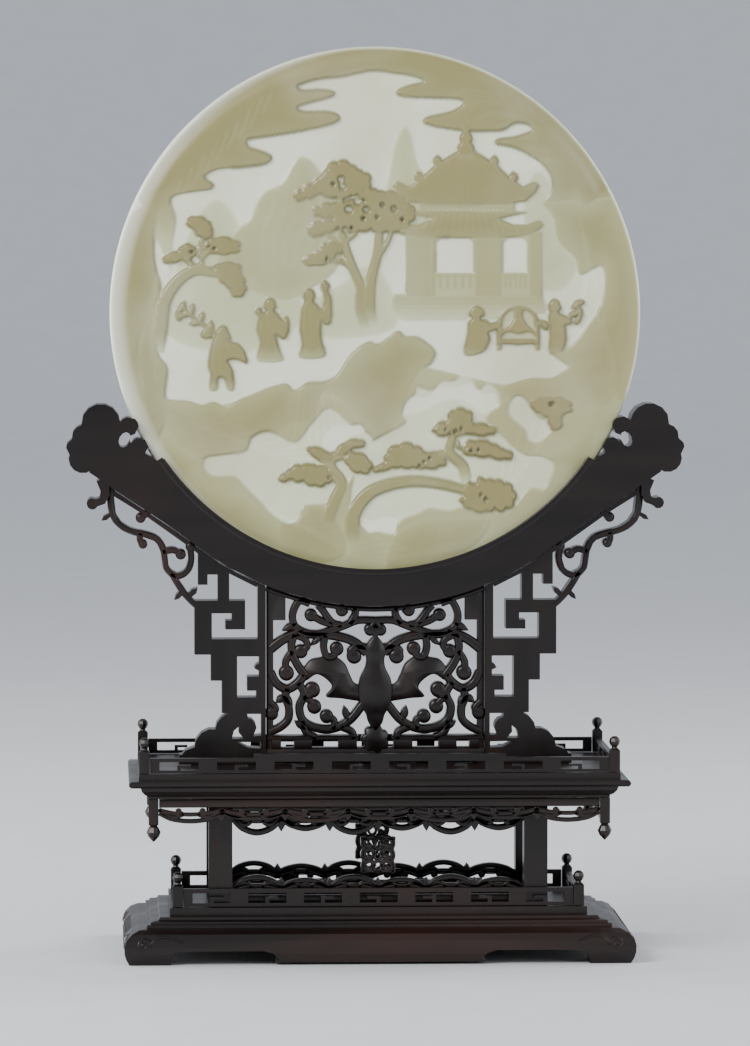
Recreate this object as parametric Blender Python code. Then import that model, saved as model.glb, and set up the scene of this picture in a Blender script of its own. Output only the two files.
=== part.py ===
"""Jade table screen: a carved jade disc in a crescent cradle on a two-storey openwork stand.

The model stands on z = 0 with its origin under its middle. X runs along the width, the carved
face looks towards -Y and +Z is up. Sizes are in millimetres and become metres through MM.
"""

import math

import bmesh
import bpy
from mathutils import Vector
from mathutils.geometry import delaunay_2d_cdt

MM = 0.001
GAP = 0.3
WELD = 0.002
OUTLINE_TOLERANCE = 0.45
TRIM_TOLERANCE = 0.55
RELIEF_TOLERANCE = 0.8
RIM_TOLERANCE = 0.1
PINCH_CLEAR = 0.15
SEAT_CLEAR = GAP + OUTLINE_TOLERANCE
BEYOND = 400.0

# The jade disc
DISC_RADIUS = 125.0
DISC_PLATE = 7.0
DISC_SIDES = 72
RIM_LEDGE = 4.6
RELIEF_STEP = 0.6

# The crescent cradle that holds it
CRADLE_THICKNESS = 20.0
CRADLE_DEPTH = 13.2
LIP_COVER = 3.8
ARM_ANGLE = 60.0
ARM_SWELL_FROM = 38.0
ARM_SWELL = 15.0

# The fretwork sides and the openwork panel between the cradle and the upper deck
BOARD_THICKNESS = 13.0
PANEL_THICKNESS = 10.0
STAND_HEIGHT = 74.7
STAND_HALF_WIDTH = 85.4
PANEL_HALF_WIDTH = 51.5

# The base
BASE_HALF_X = 119.0
BASE_HALF_Y = 63.0
BULGE_HEIGHT = 16.4
MOULDING_HEIGHT = 4.4
BAND_HEIGHT = 3.7
BAND_INSET = 21.5
FOOT_HEIGHT = 6.7
FOOT_WIDTH = 23.0
TONGUE_HALF_WIDTH = 48.0
TONGUE_CLEAR = 1.2
APRON_THICKNESS = 15.0

# The open storey between the decks
LEG_HEIGHT = 52.0
LEG_SIDE = 11.0
LEG_X = 73.8
LEG_Y = 31.0
UPPER_FRIEZE_HEIGHT = 19.5
LOWER_FRIEZE_HEIGHT = 14.6
FRIEZE_THICKNESS = 5.0
STRUT_HALF_WIDTH = 8.2
FRIEZE_BAY = 23.0

# The upper platform
DECK_THICKNESS = 11.9
DECK_HALF_X = 112.0
DECK_HALF_Y = 54.6
FLANGE_REACH = 4.6
FLANGE_HEIGHT = 3.0
UPPER_APRON_HEIGHT = 11.6
UPPER_APRON_THICKNESS = 3.0
PENDANT_LENGTH = 19.8
PENDANT_SIDE = 4.6
PENDANT_INSET = 6.8
APRON_BAY = 52.0

# Railings: posts with ball finials and pierced rails between them
POST_SIDE = 4.8
BALL_RADIUS = 2.6
UPPER_POST_HEIGHT = 11.0
LOWER_POST_HEIGHT = 10.6
UPPER_POST_INSET = 2.6
LOWER_POST_INSET = 3.7
UPPER_RAIL_HEIGHT = 8.8
LOWER_RAIL_HEIGHT = 8.4
RAIL_CREST = 1.8
RAIL_THICKNESS = 2.6
RAIL_BAY = 26.0

# Levels that follow from the sizes above
LOWER_DECK_Z = BULGE_HEIGHT + MOULDING_HEIGHT + BAND_HEIGHT
UPPER_UNDERSIDE_Z = LOWER_DECK_Z + LEG_HEIGHT
UPPER_DECK_Z = UPPER_UNDERSIDE_Z + DECK_THICKNESS
DISC_Z = UPPER_DECK_Z + STAND_HEIGHT + CRADLE_DEPTH + DISC_RADIUS

# The carving is drawn on a disc and a stand of these sizes, and follows the real ones in proportion
DRAWN_RADIUS = 125.0
DRAWN_STAND_HEIGHT = 74.7
DRAWN_HALF_WIDTH = 85.4
DRAWN_PANEL_HALF_WIDTH = 51.5

JADE_COLOUR = (0.66, 0.67, 0.50, 1.0)
WOOD_COLOUR = (0.030, 0.014, 0.011, 1.0)


def material(name, colour, roughness):
    """A plain dielectric finish."""
    finish = bpy.data.materials.new(name)
    finish.use_nodes = True
    shader = finish.node_tree.nodes["Principled BSDF"]
    shader.inputs["Base Color"].default_value = colour
    shader.inputs["Roughness"].default_value = roughness
    finish.diffuse_color = colour
    return finish


# Outlines in a plane, as lists of (across, up) pairs

def counter_clockwise(outline):
    """The outline with its inside on the left."""
    area = 0.0
    for first, second in zip(outline, outline[1:] + outline[:1]):
        area += first[0] * second[1] - second[0] * first[1]
    return outline if area > 0 else outline[::-1]


def box(left, right, low, high):
    return [(left, low), (right, low), (right, high), (left, high)]


def ellipse(centre, across, up=None, sides=12, tilt=0.0):
    up = across if up is None else up
    cos_tilt, sin_tilt = math.cos(math.radians(tilt)), math.sin(math.radians(tilt))
    outline = []
    for step in range(sides):
        angle = math.tau * step / sides
        x, z = across * math.cos(angle), up * math.sin(angle)
        outline.append((centre[0] + x * cos_tilt - z * sin_tilt, centre[1] + x * sin_tilt + z * cos_tilt))
    return outline


def lobed(centre, across, up, lobes, depth=0.16, tilt=0.0, start=0.0):
    """A closed scalloped outline, as carved foliage and clouds have."""
    cos_tilt, sin_tilt = math.cos(math.radians(tilt)), math.sin(math.radians(tilt))
    outline = []
    for step in range(lobes * 3):
        angle = math.tau * step / (lobes * 3) + math.radians(start)
        swell = 1.0 - depth if step % 3 == 0 else 1.0
        x, z = across * swell * math.cos(angle), up * swell * math.sin(angle)
        outline.append((centre[0] + x * cos_tilt - z * sin_tilt, centre[1] + x * sin_tilt + z * cos_tilt))
    return outline


def capsule(start, end, radius, end_radius=None, steps=4):
    """A bar with round ends."""
    end_radius = radius if end_radius is None else end_radius
    heading = math.atan2(end[1] - start[1], end[0] - start[0])
    outline = []
    for centre, size, turn in ((end, end_radius, -0.5 * math.pi), (start, radius, 0.5 * math.pi)):
        for step in range(steps + 1):
            angle = heading + turn + math.pi * step / steps
            outline.append((centre[0] + size * math.cos(angle), centre[1] + size * math.sin(angle)))
    return outline


def leaf(root, tip, fullness, steps=3):
    """A pointed leaf from root to tip."""
    along = Vector(tip) - Vector(root)
    side = Vector((-along.y, along.x)).normalized() * fullness
    outline = [tuple(root)]
    for sign in (-1, 1):
        shares = [step / (steps + 1) for step in range(1, steps + 1)]
        for share in shares if sign < 0 else shares[::-1]:
            point = Vector(root) + along * share + side * sign * math.sin(math.pi * share)
            outline.append(tuple(point))
        if sign < 0:
            outline.append(tuple(tip))
    return outline


def smooth(points, spans=3, closed=False):
    """Points along a smooth curve through the given ones."""
    count = len(points)
    if closed:
        knots = [points[-1]] + list(points) + [points[0], points[1]]
        last = count
    else:
        first = (2 * points[0][0] - points[1][0], 2 * points[0][1] - points[1][1])
        final = (2 * points[-1][0] - points[-2][0], 2 * points[-1][1] - points[-2][1])
        knots = [first] + list(points) + [final]
        last = count - 1
    curve = []
    for index in range(last):
        a, b, c, d = (Vector(knots[index + offset]) for offset in range(4))
        for step in range(spans):
            t = step / spans
            point = 0.5 * ((2 * b) + (c - a) * t + (2 * a - 5 * b + 4 * c - d) * t * t
                           + (3 * b - a - 3 * c + d) * t * t * t)
            curve.append(tuple(point))
    if not closed:
        curve.append(tuple(points[-1]))
    return curve


def ribbon(path, start_width, end_width):
    """A band along a path, as a row of four-sided pieces that share their ends."""
    path = [Vector(point) for point in path]
    rails = []
    for index, point in enumerate(path):
        before, after = path[max(index - 1, 0)], path[min(index + 1, len(path) - 1)]
        heading = (after - before).normalized()
        share = index / (len(path) - 1)
        half = 0.5 * (start_width + (end_width - start_width) * share)
        side = Vector((-heading.y, heading.x)) * half
        rails.append((tuple(point + side), tuple(point - side)))
    return [[near[1], far[1], far[0], near[0]] for near, far in zip(rails, rails[1:])]


def vine(points, start_width, end_width, bulb=0.0, spans=3):
    """A flowing stem through the points, with a round bud at its end where bulb is given."""
    pieces = ribbon(smooth(points, spans), start_width, end_width)
    if bulb:
        pieces.append(ellipse(points[-1], bulb, sides=10))
    return pieces


def mirrored(outlines):
    return outlines + [[(-x, z) for x, z in outline] for outline in outlines]


def scaled(outlines, across, up):
    return [[(x * across, z * up) for x, z in outline] for outline in outlines]


def shifted(outlines, across, up):
    return [[(x + across, z + up) for x, z in outline] for outline in outlines]


def triangles_under(outlines):
    """Splits the plane along the outlines: points, triangles, and the outlines over each triangle."""
    points, loops = [], []
    for outline in outlines:
        outline = counter_clockwise(outline)
        loops.append(list(range(len(points), len(points) + len(outline))))
        points.extend(Vector(point) for point in outline)
    found, _, faces, _, _, covers = delaunay_2d_cdt(points, [], loops, 0, WELD, True)
    return [tuple(point) for point in found], [tuple(face) for face in faces], covers


def thinned(points, chain, tolerance):
    """The chain without the points that lie within the tolerance of a straight run."""
    if len(chain) < 3:
        return chain
    start, end = Vector(points[chain[0]]), Vector(points[chain[-1]])
    along = end - start
    offsets = []
    for index in chain[1:-1]:
        point = Vector(points[index]) - start
        if along.length > WELD:
            share = max(0.0, min(1.0, point.dot(along) / along.length_squared))
            offsets.append((point - along * share).length)
        else:
            offsets.append(point.length)
    farthest = max(offsets)
    if farthest <= tolerance:
        return [chain[0], chain[-1]]
    split = offsets.index(farthest) + 1
    return thinned(points, chain[:split + 1], tolerance)[:-1] + thinned(points, chain[split:], tolerance)


def region_borders(faces, labels):
    """Directed edges between regions of different labels: {(from, to): (left label, right label)}."""
    left_of = {}
    for face, label in zip(faces, labels):
        for first, second in zip(face, face[1:] + face[:1]):
            left_of[(first, second)] = label
    borders = {}
    for (first, second), label in left_of.items():
        other = left_of.get((second, first))
        if label != other and (second, first) not in borders:
            borders[(first, second)] = (label, other)
    return borders


def border_chains(borders):
    """Joins border edges into chains that run from one meeting point of regions to the next."""
    neighbours = {}
    for first, second in borders:
        neighbours.setdefault(first, []).append(second)
        neighbours.setdefault(second, []).append(first)
    unused = set(frozenset(edge) for edge in borders)
    meetings = sorted(index for index, others in neighbours.items() if len(others) != 2)
    chains = []
    for start in meetings + sorted(neighbours):
        for step in neighbours[start]:
            if frozenset((start, step)) not in unused:
                continue
            chain = [start, step]
            unused.discard(frozenset((start, step)))
            while len(neighbours[chain[-1]]) == 2 and chain[-1] != start:
                following = [other for other in neighbours[chain[-1]]
                             if frozenset((chain[-1], other)) in unused]
                if not following:
                    break
                unused.discard(frozenset((chain[-1], following[0])))
                chain.append(following[0])
            chains.append(chain)
    return chains


def thinned_edges(points, borders, chains, tolerances):
    """Border edges left after thinning: (from, to), the labels on both sides, the chain of each."""
    edges, sides, owners = [], [], []
    for number, chain in enumerate(chains):
        pair = borders.get((chain[0], chain[1])) or borders[(chain[1], chain[0])][::-1]
        short = thinned(points, chain, tolerances[number])
        for first, second in zip(short, short[1:]):
            edges.append((first, second))
            sides.append(pair)
            owners.append(number)
    return edges, sides, owners


def tidy_regions(points, faces, labels, tolerance, rim_tolerance):
    """The same labelled regions on far fewer points, triangulated again.

    A chain that would cross another once it is thinned is thinned less.
    """
    borders = region_borders(faces, labels)
    chains = border_chains(borders)
    tolerances = []
    for chain in chains:
        pair = borders.get((chain[0], chain[1])) or borders[(chain[1], chain[0])]
        tolerances.append(rim_tolerance if None in pair else tolerance)
    crossed = True
    while crossed:
        edges, sides, owners = thinned_edges(points, borders, chains, tolerances)
        used = {}
        for first, second in edges:
            used.setdefault(first, len(used))
            used.setdefault(second, len(used))
        kept = [Vector(points[index]) for index in used]
        local = [(used[first], used[second]) for first, second in edges]
        found, new_edges, new_faces, corner_sources, edge_sources, _ = delaunay_2d_cdt(
            kept, local, [], 0, WELD, True)
        crossed = set()
        for (first, second), sources in zip(new_edges, edge_sources):
            if not corner_sources[first] or not corner_sources[second]:
                crossed.update(owners[source] for source in sources if source < len(local))
        crossed = {number for number in crossed if tolerances[number] > WELD}
        for number in crossed:
            tolerances[number] *= 0.4
    border_of = {}
    for (first, second), sources in zip(new_edges, edge_sources):
        real = [source for source in sources if source < len(local)]
        if real:
            source = local[real[0]]
            heading = kept[source[1]] - kept[source[0]]
            pair = sides[real[0]]
            if heading.dot(found[second] - found[first]) < 0.0:
                pair = pair[::-1]
            border_of[(first, second)] = pair[0]
            border_of[(second, first)] = pair[1]
    return spread_labels(found, new_faces, border_of)


def spread_labels(points, faces, border_of):
    """Gives every triangle the label of the region it lies in; drops those outside every region."""
    owner, result = {}, {}
    for number, face in enumerate(faces):
        for first, second in zip(face, face[1:] + face[:1]):
            owner[(first, second)] = number
            if (first, second) in border_of:
                result[number] = border_of[(first, second)]
    waiting = list(result)
    while waiting:
        number = waiting.pop()
        face = faces[number]
        for first, second in zip(face, face[1:] + face[:1]):
            other = owner.get((second, first))
            if other is not None and other not in result and (first, second) not in border_of:
                result[other] = result[number]
                waiting.append(other)
    inside = [number for number in range(len(faces)) if result.get(number) is not None]
    return [tuple(point) for point in points], [tuple(faces[number]) for number in inside], [
        result[number] for number in inside]


# Solids

def solid_object(name, mesh_builder, finish, location=(0.0, 0.0, 0.0), turn=0.0, crease=None):
    """Turns a bmesh in millimetres into a placed object in metres."""
    bmesh.ops.scale(mesh_builder, vec=(MM, MM, MM), verts=mesh_builder.verts)
    bmesh.ops.recalc_face_normals(mesh_builder, faces=mesh_builder.faces)
    mesh = bpy.data.meshes.new(name)
    mesh_builder.to_mesh(mesh)
    mesh_builder.free()
    mesh.materials.append(finish)
    if crease is not None:
        mesh.shade_smooth()
        mesh.set_sharp_from_angle(angle=math.radians(crease))
    piece = bpy.data.objects.new(name, mesh)
    piece.location = Vector(location) * MM
    piece.rotation_euler = (0.0, 0.0, math.radians(turn))
    bpy.context.scene.collection.objects.link(piece)
    return piece


def extruded_cells(points, cells, back, whole_back=False):
    """A closed solid over the plane's cells, each (triangle, depth of its front), down to the back.

    A back without openings can be one face.
    """
    form = bmesh.new()
    known = {}

    def corner(index, depth):
        key = (index, depth)
        if key not in known:
            known[key] = form.verts.new((points[index][0], depth, points[index][1]))
        return known[key]

    sides, levels = {}, {}
    for face, depth in cells:
        form.faces.new([corner(index, depth) for index in face])
        if not whole_back:
            form.faces.new([corner(index, back) for index in reversed(face)])
        for first, second in zip(face, face[1:] + face[:1]):
            sides.setdefault(frozenset((first, second)), []).append(depth)
        for index in face:
            levels.setdefault(index, set()).update((depth, back))
    for edge, depths in sides.items():
        if len(depths) == 1:
            depths = depths + [back]
        near, far = min(depths), max(depths)
        if near == far:
            continue
        first, second = sorted(edge)
        rising = [corner(first, level) for level in sorted(levels[first]) if near <= level <= far]
        falling = [corner(second, level) for level in sorted(levels[second], reverse=True)
                   if near <= level <= far]
        form.faces.new(rising + falling)
    if whole_back:
        onward = {}
        for face, _ in cells:
            for first, second in zip(face, face[1:] + face[:1]):
                if len(sides[frozenset((first, second))]) == 1:
                    onward[first] = second
        rim = [min(onward)]
        while onward[rim[-1]] != rim[0]:
            rim.append(onward[rim[-1]])
        form.faces.new([corner(index, back) for index in reversed(rim)])
    return form


def corner_fans(faces, members):
    """Groups the triangles round one corner into runs that share sides."""
    left, fans = list(members), []
    while left:
        fan = [left.pop()]
        for number in fan:
            for other in list(left):
                if len(set(faces[number]) & set(faces[other])) == 2:
                    left.remove(other)
                    fan.append(other)
        fans.append(fan)
    return fans


def triangles_by_corner(faces, numbers):
    around = {}
    for number in numbers:
        for index in faces[number]:
            around.setdefault(index, []).append(number)
    return around


def parted_at_corners(points, faces):
    """Draws triangles apart that touch others at a corner only, so that no two share it."""
    points, parted = list(points), [list(face) for face in faces]
    for index, members in triangles_by_corner(faces, range(len(faces))).items():
        for fan in corner_fans(faces, members)[1:]:
            corners = [Vector(points[other]) for number in fan for other in faces[number]]
            middle = sum(corners, Vector((0.0, 0.0))) / len(corners)
            spot = Vector(points[index])
            points.append(tuple(spot + (middle - spot).normalized() * PINCH_CLEAR))
            for number in fan:
                parted[number][parted[number].index(index)] = len(points) - 1
    return points, parted


def filled_at_corners(faces, labels):
    """Raises the low triangles between two higher regions that touch at a corner only."""
    labels = list(labels)
    for level in sorted(set(labels)):
        raised = True
        while raised:
            raised = False
            high = [number for number, label in enumerate(labels) if label >= level]
            around = triangles_by_corner(faces, range(len(faces)))
            for index, members in triangles_by_corner(faces, high).items():
                low = [number for number in around[index] if labels[number] < level]
                runs = corner_fans(faces, low)
                if len(corner_fans(faces, members)) > 1 and runs:
                    for number in min(runs, key=len):
                        labels[number] = level
                    raised = True
                    break
    return labels


def pierced_board(solids, holes, thickness, tolerance=OUTLINE_TOLERANCE):
    """A board of the given thickness, centred on y = 0: every solid outline less every hole."""
    points, faces, covers = triangles_under(solids + holes)
    labels = [1 if cover and max(cover) < len(solids) else None for cover in covers]
    points, faces, _ = tidy_regions(points, faces, labels, tolerance, tolerance)
    points, faces = parted_at_corners(points, faces)
    front = -0.5 * thickness
    return extruded_cells(points, [(face, front) for face in faces], -front)


def stepped_plate(layers, back, front):
    """A plate whose front face rises in steps: layers are (height, outlines), the first is the plate."""
    outlines, heights = [], []
    for height, shapes in layers:
        outlines += shapes
        heights += [height] * len(shapes)
    points, faces, covers = triangles_under(outlines)
    plate_outlines = len(layers[0][1])
    labels = []
    for cover in covers:
        on_plate = any(index < plate_outlines for index in cover)
        labels.append(max(heights[index] for index in cover) if on_plate else None)
    points, faces, labels = tidy_regions(points, faces, labels, RELIEF_TOLERANCE, RIM_TOLERANCE)
    labels = filled_at_corners(faces, labels)
    cells = [(face, front - height) for face, height in zip(faces, labels)]
    return extruded_cells(points, cells, back, whole_back=True)


def stacked_rings(rings):
    """A closed solid through rings of equal point counts, from the lowest to the highest."""
    form = bmesh.new()
    built = [[form.verts.new(point) for point in ring] for ring in rings]
    for lower, upper in zip(built, built[1:]):
        for index in range(len(lower)):
            following = (index + 1) % len(lower)
            form.faces.new((lower[index], lower[following], upper[following], upper[index]))
    form.faces.new(built[0][::-1])
    form.faces.new(built[-1])
    return form


def moulded_slab(half_x, half_y, profile):
    """A slab with mitred corners: the profile lists (reach past the half sizes, height)."""
    rings = []
    for reach, height in profile:
        x, y = half_x + reach, half_y + reach
        rings.append([(-x, -y, height), (x, -y, height), (x, y, height), (-x, y, height)])
    return stacked_rings(rings)


def eight_points(half, height, roundness):
    """Eight points of a square (roundness 0) or of a circle (roundness 1)."""
    ring = []
    for step in range(8):
        angle = math.tau * step / 8
        x, y = math.cos(angle), math.sin(angle)
        square = 1.0 / max(abs(x), abs(y))
        reach = half * (square + (1.0 - square) * roundness)
        ring.append((reach * x, reach * y, height))
    return ring


def cut(piece, cutter):
    """Takes the cutter's shape out of the piece."""
    cutter.hide_render = True
    cutter.display_type = "WIRE"
    modifier = piece.modifiers.new("cut_" + cutter.name, "BOOLEAN")
    modifier.operation = "DIFFERENCE"
    modifier.solver = "EXACT"
    modifier.object = cutter


# The crescent cradle

def cradle_reach(angle):
    """The crescent's outer radius at an angle from straight down: it swells towards the arms."""
    past = max(0.0, abs(angle) - ARM_SWELL_FROM) / (ARM_ANGLE - ARM_SWELL_FROM)
    return DISC_RADIUS + CRADLE_DEPTH + ARM_SWELL * past * past


def polar(angle, radius):
    """A point about the disc's centre, with the angle taken from straight down towards +X."""
    return (radius * math.sin(math.radians(angle)), -radius * math.cos(math.radians(angle)))


def crescent_outline(inner, extra, reach_angle, steps=30):
    """The crescent between a radius and its own outer edge, moved out by extra."""
    angles = [reach_angle * (2.0 * step / steps - 1.0) for step in range(steps + 1)]
    outer = [polar(angle, cradle_reach(angle) + extra) for angle in angles]
    return outer + [polar(angle, inner) for angle in reversed(angles)]


def from_disc(points):
    """Drawn points about the disc's centre, kept in proportion to the disc."""
    share = DISC_RADIUS / DRAWN_RADIUS
    return [(x * share, z * share) for x, z in points]


# Lobes of a cradle end: distance past the disc's edge, angle from straight down, radius
HEAD_LOBES = (
    (14.2, 68.2, 9.2), (23.7, 66.9, 6.2), (29.4, 65.9, 4.6), (28.7, 63.6, 6.7),
    (16.6, 63.6, 12.0), (2.6, 65.4, 4.5), (2.6, 60.6, 4.2),
)
HEAD_EYE = (7.2, 63.3, 2.6, 3.8)
CURL = ((129.0, -78.0), (127.2, -83.5), (128.6, -88.0), (133.2, -89.4))
CURL_WIDTH = 5.0
CURL_TIP_WIDTH = 3.2
CURL_BUD = 2.8


def cradle_ends(extra):
    """The lobed heads and the curls under them at both ends, grown by extra."""
    share = DISC_RADIUS / DRAWN_RADIUS
    right = [ellipse(polar(angle, DISC_RADIUS + offset * share), radius * share + extra, sides=14)
             for offset, angle, radius in HEAD_LOBES]
    right += vine(from_disc(CURL), CURL_WIDTH + 2.0 * extra, CURL_TIP_WIDTH + 2.0 * extra, bulb=CURL_BUD + extra)
    return mirrored(right)


def crescent_cradle(wood):
    lip = DISC_RADIUS - LIP_COVER
    solids = [crescent_outline(lip, 0.0, ARM_ANGLE - 4.0)]
    solids.append([polar(ARM_ANGLE - 5.0, lip + 1.5), polar(ARM_ANGLE - 5.0, cradle_reach(ARM_ANGLE - 5.0)),
                   polar(ARM_ANGLE + 1.0, cradle_reach(ARM_ANGLE) + 0.8),
                   polar(ARM_ANGLE + 4.0, DISC_RADIUS + 20.0), polar(ARM_ANGLE + 1.0, DISC_RADIUS + 5.0)])
    solids.append([(-x, z) for x, z in solids[-1]])
    solids += cradle_ends(0.0)
    share = DISC_RADIUS / DRAWN_RADIUS
    offset, angle, across, up = HEAD_EYE
    holes = [ellipse(polar(side * angle, DISC_RADIUS + offset * share), across * share, up * share,
                     sides=10, tilt=side * 25.0) for side in (-1, 1)]
    board = pierced_board(solids, holes, CRADLE_THICKNESS)
    cradle = solid_object("crescent_cradle", board, wood, (0.0, 0.0, DISC_Z))
    half = 0.5 * DISC_PLATE + GAP
    radius = DISC_RADIUS + GAP
    front_ring = [(radius * math.cos(math.tau * step / DISC_SIDES), -half,
                   radius * math.sin(math.tau * step / DISC_SIDES)) for step in range(DISC_SIDES)]
    back_ring = [(x, half, z) for x, _, z in front_ring]
    groove = stacked_rings([back_ring, front_ring])
    cutter = solid_object("groove_cutter", groove, wood, (0.0, 0.0, DISC_Z))
    cut(cradle, cutter)


# The stand's fretwork, drawn as (distance from the middle, height over the deck)

def fret_bars():
    """The bars of the angular key fret and the solid parts of the foot."""
    return [
        box(51.8, 85.4, 51.7, 77.2), box(69.0, 74.4, 76.0, 110.0), box(74.4, 83.7, 89.5, 110.0),
        box(79.2, 83.7, 84.7, 90.5), box(51.8, 55.6, 51.0, 110.0), box(51.8, 77.7, 39.4, 52.5),
        box(51.8, 72.5, 24.0, 40.0), box(51.8, 70.0, 0.0, 25.0), box(60.0, 92.6, 0.0, 4.4),
        ellipse((67.4, 15.6), 8.4, sides=14), ellipse((76.8, 8.0), 8.6, sides=14),
        box(60.0, 76.8, 0.0, 12.0), box(76.0, 84.0, 0.0, 8.0), ellipse((84.6, 0.0), 8.2, sides=14),
    ]


def fret_holes():
    """The channels that the fret leaves open."""
    return [
        box(55.6, 61.5, 59.0, 112.0), box(61.5, 69.0, 85.0, 112.0), box(61.5, 66.2, 77.5, 112.0),
        box(55.6, 77.2, 59.0, 63.6), box(70.8, 77.2, 59.0, 71.2), box(67.8, 77.2, 67.8, 71.2),
        box(55.0, 65.3, 41.3, 50.8), box(60.6, 65.3, 31.4, 50.8), box(56.3, 65.3, 31.4, 34.6),
        [(54.0, 13.5), (57.8, 13.0), (59.4, 18.0), (60.6, 23.6), (54.0, 23.6)],
        [(62.0, 11.8), (67.9, 11.8), (66.8, 15.8), (63.6, 18.4), (64.6, 14.8)],
        [(54.2, 7.2), (60.0, 7.6), (66.0, 10.4), (54.2, 10.2)],
        box(50.0, 100.0, -20.0, 0.0),
    ]


# Stems of the scroll bracket, drawn about the centre of the disc
BRACKET_STEMS = (
    ((123.5, -79.0), (124.6, -86.0), (124.4, -92.1), (122.4, -97.4), (118.6, -100.9),
     (114.0, -103.0), (109.0, -104.0), (103.6, -106.0), (100.4, -110.0), (99.4, -115.0),
     (98.6, -120.0), (95.4, -123.4), (91.6, -123.6), (88.2, -120.8), (86.8, -116.0), (87.2, -110.0)),
    ((100.2, -112.4), (95.4, -111.6), (91.8, -113.6)),
    ((110.6, -103.6), (111.0, -106.6), (109.6, -108.8)),
    ((106.0, -90.0), (107.4, -94.0), (110.6, -96.4)),
    ((96.0, -122.4), (93.6, -127.0), (90.2, -132.0), (86.4, -136.2), (83.6, -138.4)),
)
BRACKET_BUDS = (2.2, 2.3, 2.0, 2.2, 0.0)
BRACKET_LEAVES = (((124.0, -94.0), (129.0, -97.6), 1.3), ((112.0, -92.0), (118.4, -87.4), 1.6),
                  ((90.2, -130.2), (94.8, -135.2), 1.3), ((88.8, -134.2), (83.8, -129.4), 1.6))
BRACKET_WIDTH = 3.0

# The bracket's slim seat under the cradle runs between these angles from straight down
BRACKET_SEAT_FROM = 23.5
BRACKET_SEAT_TO = 57.0


def scroll_bracket():
    """The running scroll that climbs from the fret to the cradle's arm."""
    pieces = []
    for stem, bud in zip(BRACKET_STEMS, BRACKET_BUDS):
        pieces += vine(from_disc(stem), BRACKET_WIDTH, BRACKET_WIDTH - 0.4, bulb=bud, spans=2)
    for root, tip, fullness in BRACKET_LEAVES:
        pieces.append(leaf(*from_disc((root, tip)), fullness, steps=2))
    corner = from_disc([BRACKET_STEMS[-1][-1]])[0]
    fret_corner = (STAND_HALF_WIDTH - 2.5, UPPER_DECK_Z + 76.0 * STAND_HEIGHT / DRAWN_STAND_HEIGHT - DISC_Z)
    pieces += ribbon([corner, (0.5 * (corner[0] + fret_corner[0]), 0.5 * (corner[1] + fret_corner[1])),
                      fret_corner], BRACKET_WIDTH + 1.0, BRACKET_WIDTH + 2.0)
    along = [BRACKET_SEAT_FROM + (BRACKET_SEAT_TO - BRACKET_SEAT_FROM) * step / 8 for step in range(9)]
    seat = [polar(angle, cradle_reach(angle) + 1.4) for angle in along]
    return pieces + ribbon(seat, 2.4, 2.4)


def fret_side(name, side, wood):
    """One stepped side of the stand with its scroll bracket and cloud-lobed foot."""
    across = STAND_HALF_WIDTH / DRAWN_HALF_WIDTH
    up = STAND_HEIGHT / DRAWN_STAND_HEIGHT
    to_disc = UPPER_DECK_Z + GAP - DISC_Z
    seam = PANEL_HALF_WIDTH + 0.5 * GAP
    bars = shifted(scaled(fret_bars(), across, up), 0.0, to_disc)
    holes = shifted(scaled(fret_holes(), across, up), 0.0, to_disc)
    spur = shifted(scaled([leaf((52.5, 46.5), (57.2, 45.2), 1.8)], across, up), 0.0, to_disc)
    bud = shifted(scaled([ellipse((60.4, 17.0), 4.2, 4.6)], across, up), 0.0, to_disc)
    solid = counter_holes(bars, holes, bud + spur) + scroll_bracket()
    trims = [crescent_outline(0.5 * DISC_RADIUS, SEAT_CLEAR, ARM_ANGLE), box(-BEYOND, seam, -BEYOND, BEYOND)]
    trims += cradle_ends(SEAT_CLEAR + GAP)
    board = pierced_board(*placed_on_side(solid, trims, side), BOARD_THICKNESS)
    solid_object(name, board, wood, (0.0, 0.0, DISC_Z))


def counter_holes(bars, holes, added):
    """Outlines of the bars less the holes, with the added pieces over both, as triangles."""
    points, faces, covers = triangles_under(bars + holes + added)
    pieces = []
    for face, cover in zip(faces, covers):
        in_bar = any(index < len(bars) for index in cover)
        in_hole = any(len(bars) <= index < len(bars) + len(holes) for index in cover)
        in_added = any(index >= len(bars) + len(holes) for index in cover)
        if in_added or (in_bar and not in_hole):
            pieces.append([points[index] for index in face])
    return pieces


def placed_on_side(solid, trims, side):
    """Both lists of outlines on the left (-1) or the right (+1)."""
    if side > 0:
        return solid, trims
    return [[(-x, z) for x, z in outline] for outline in solid], [[(-x, z) for x, z in outline] for outline in trims]


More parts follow.
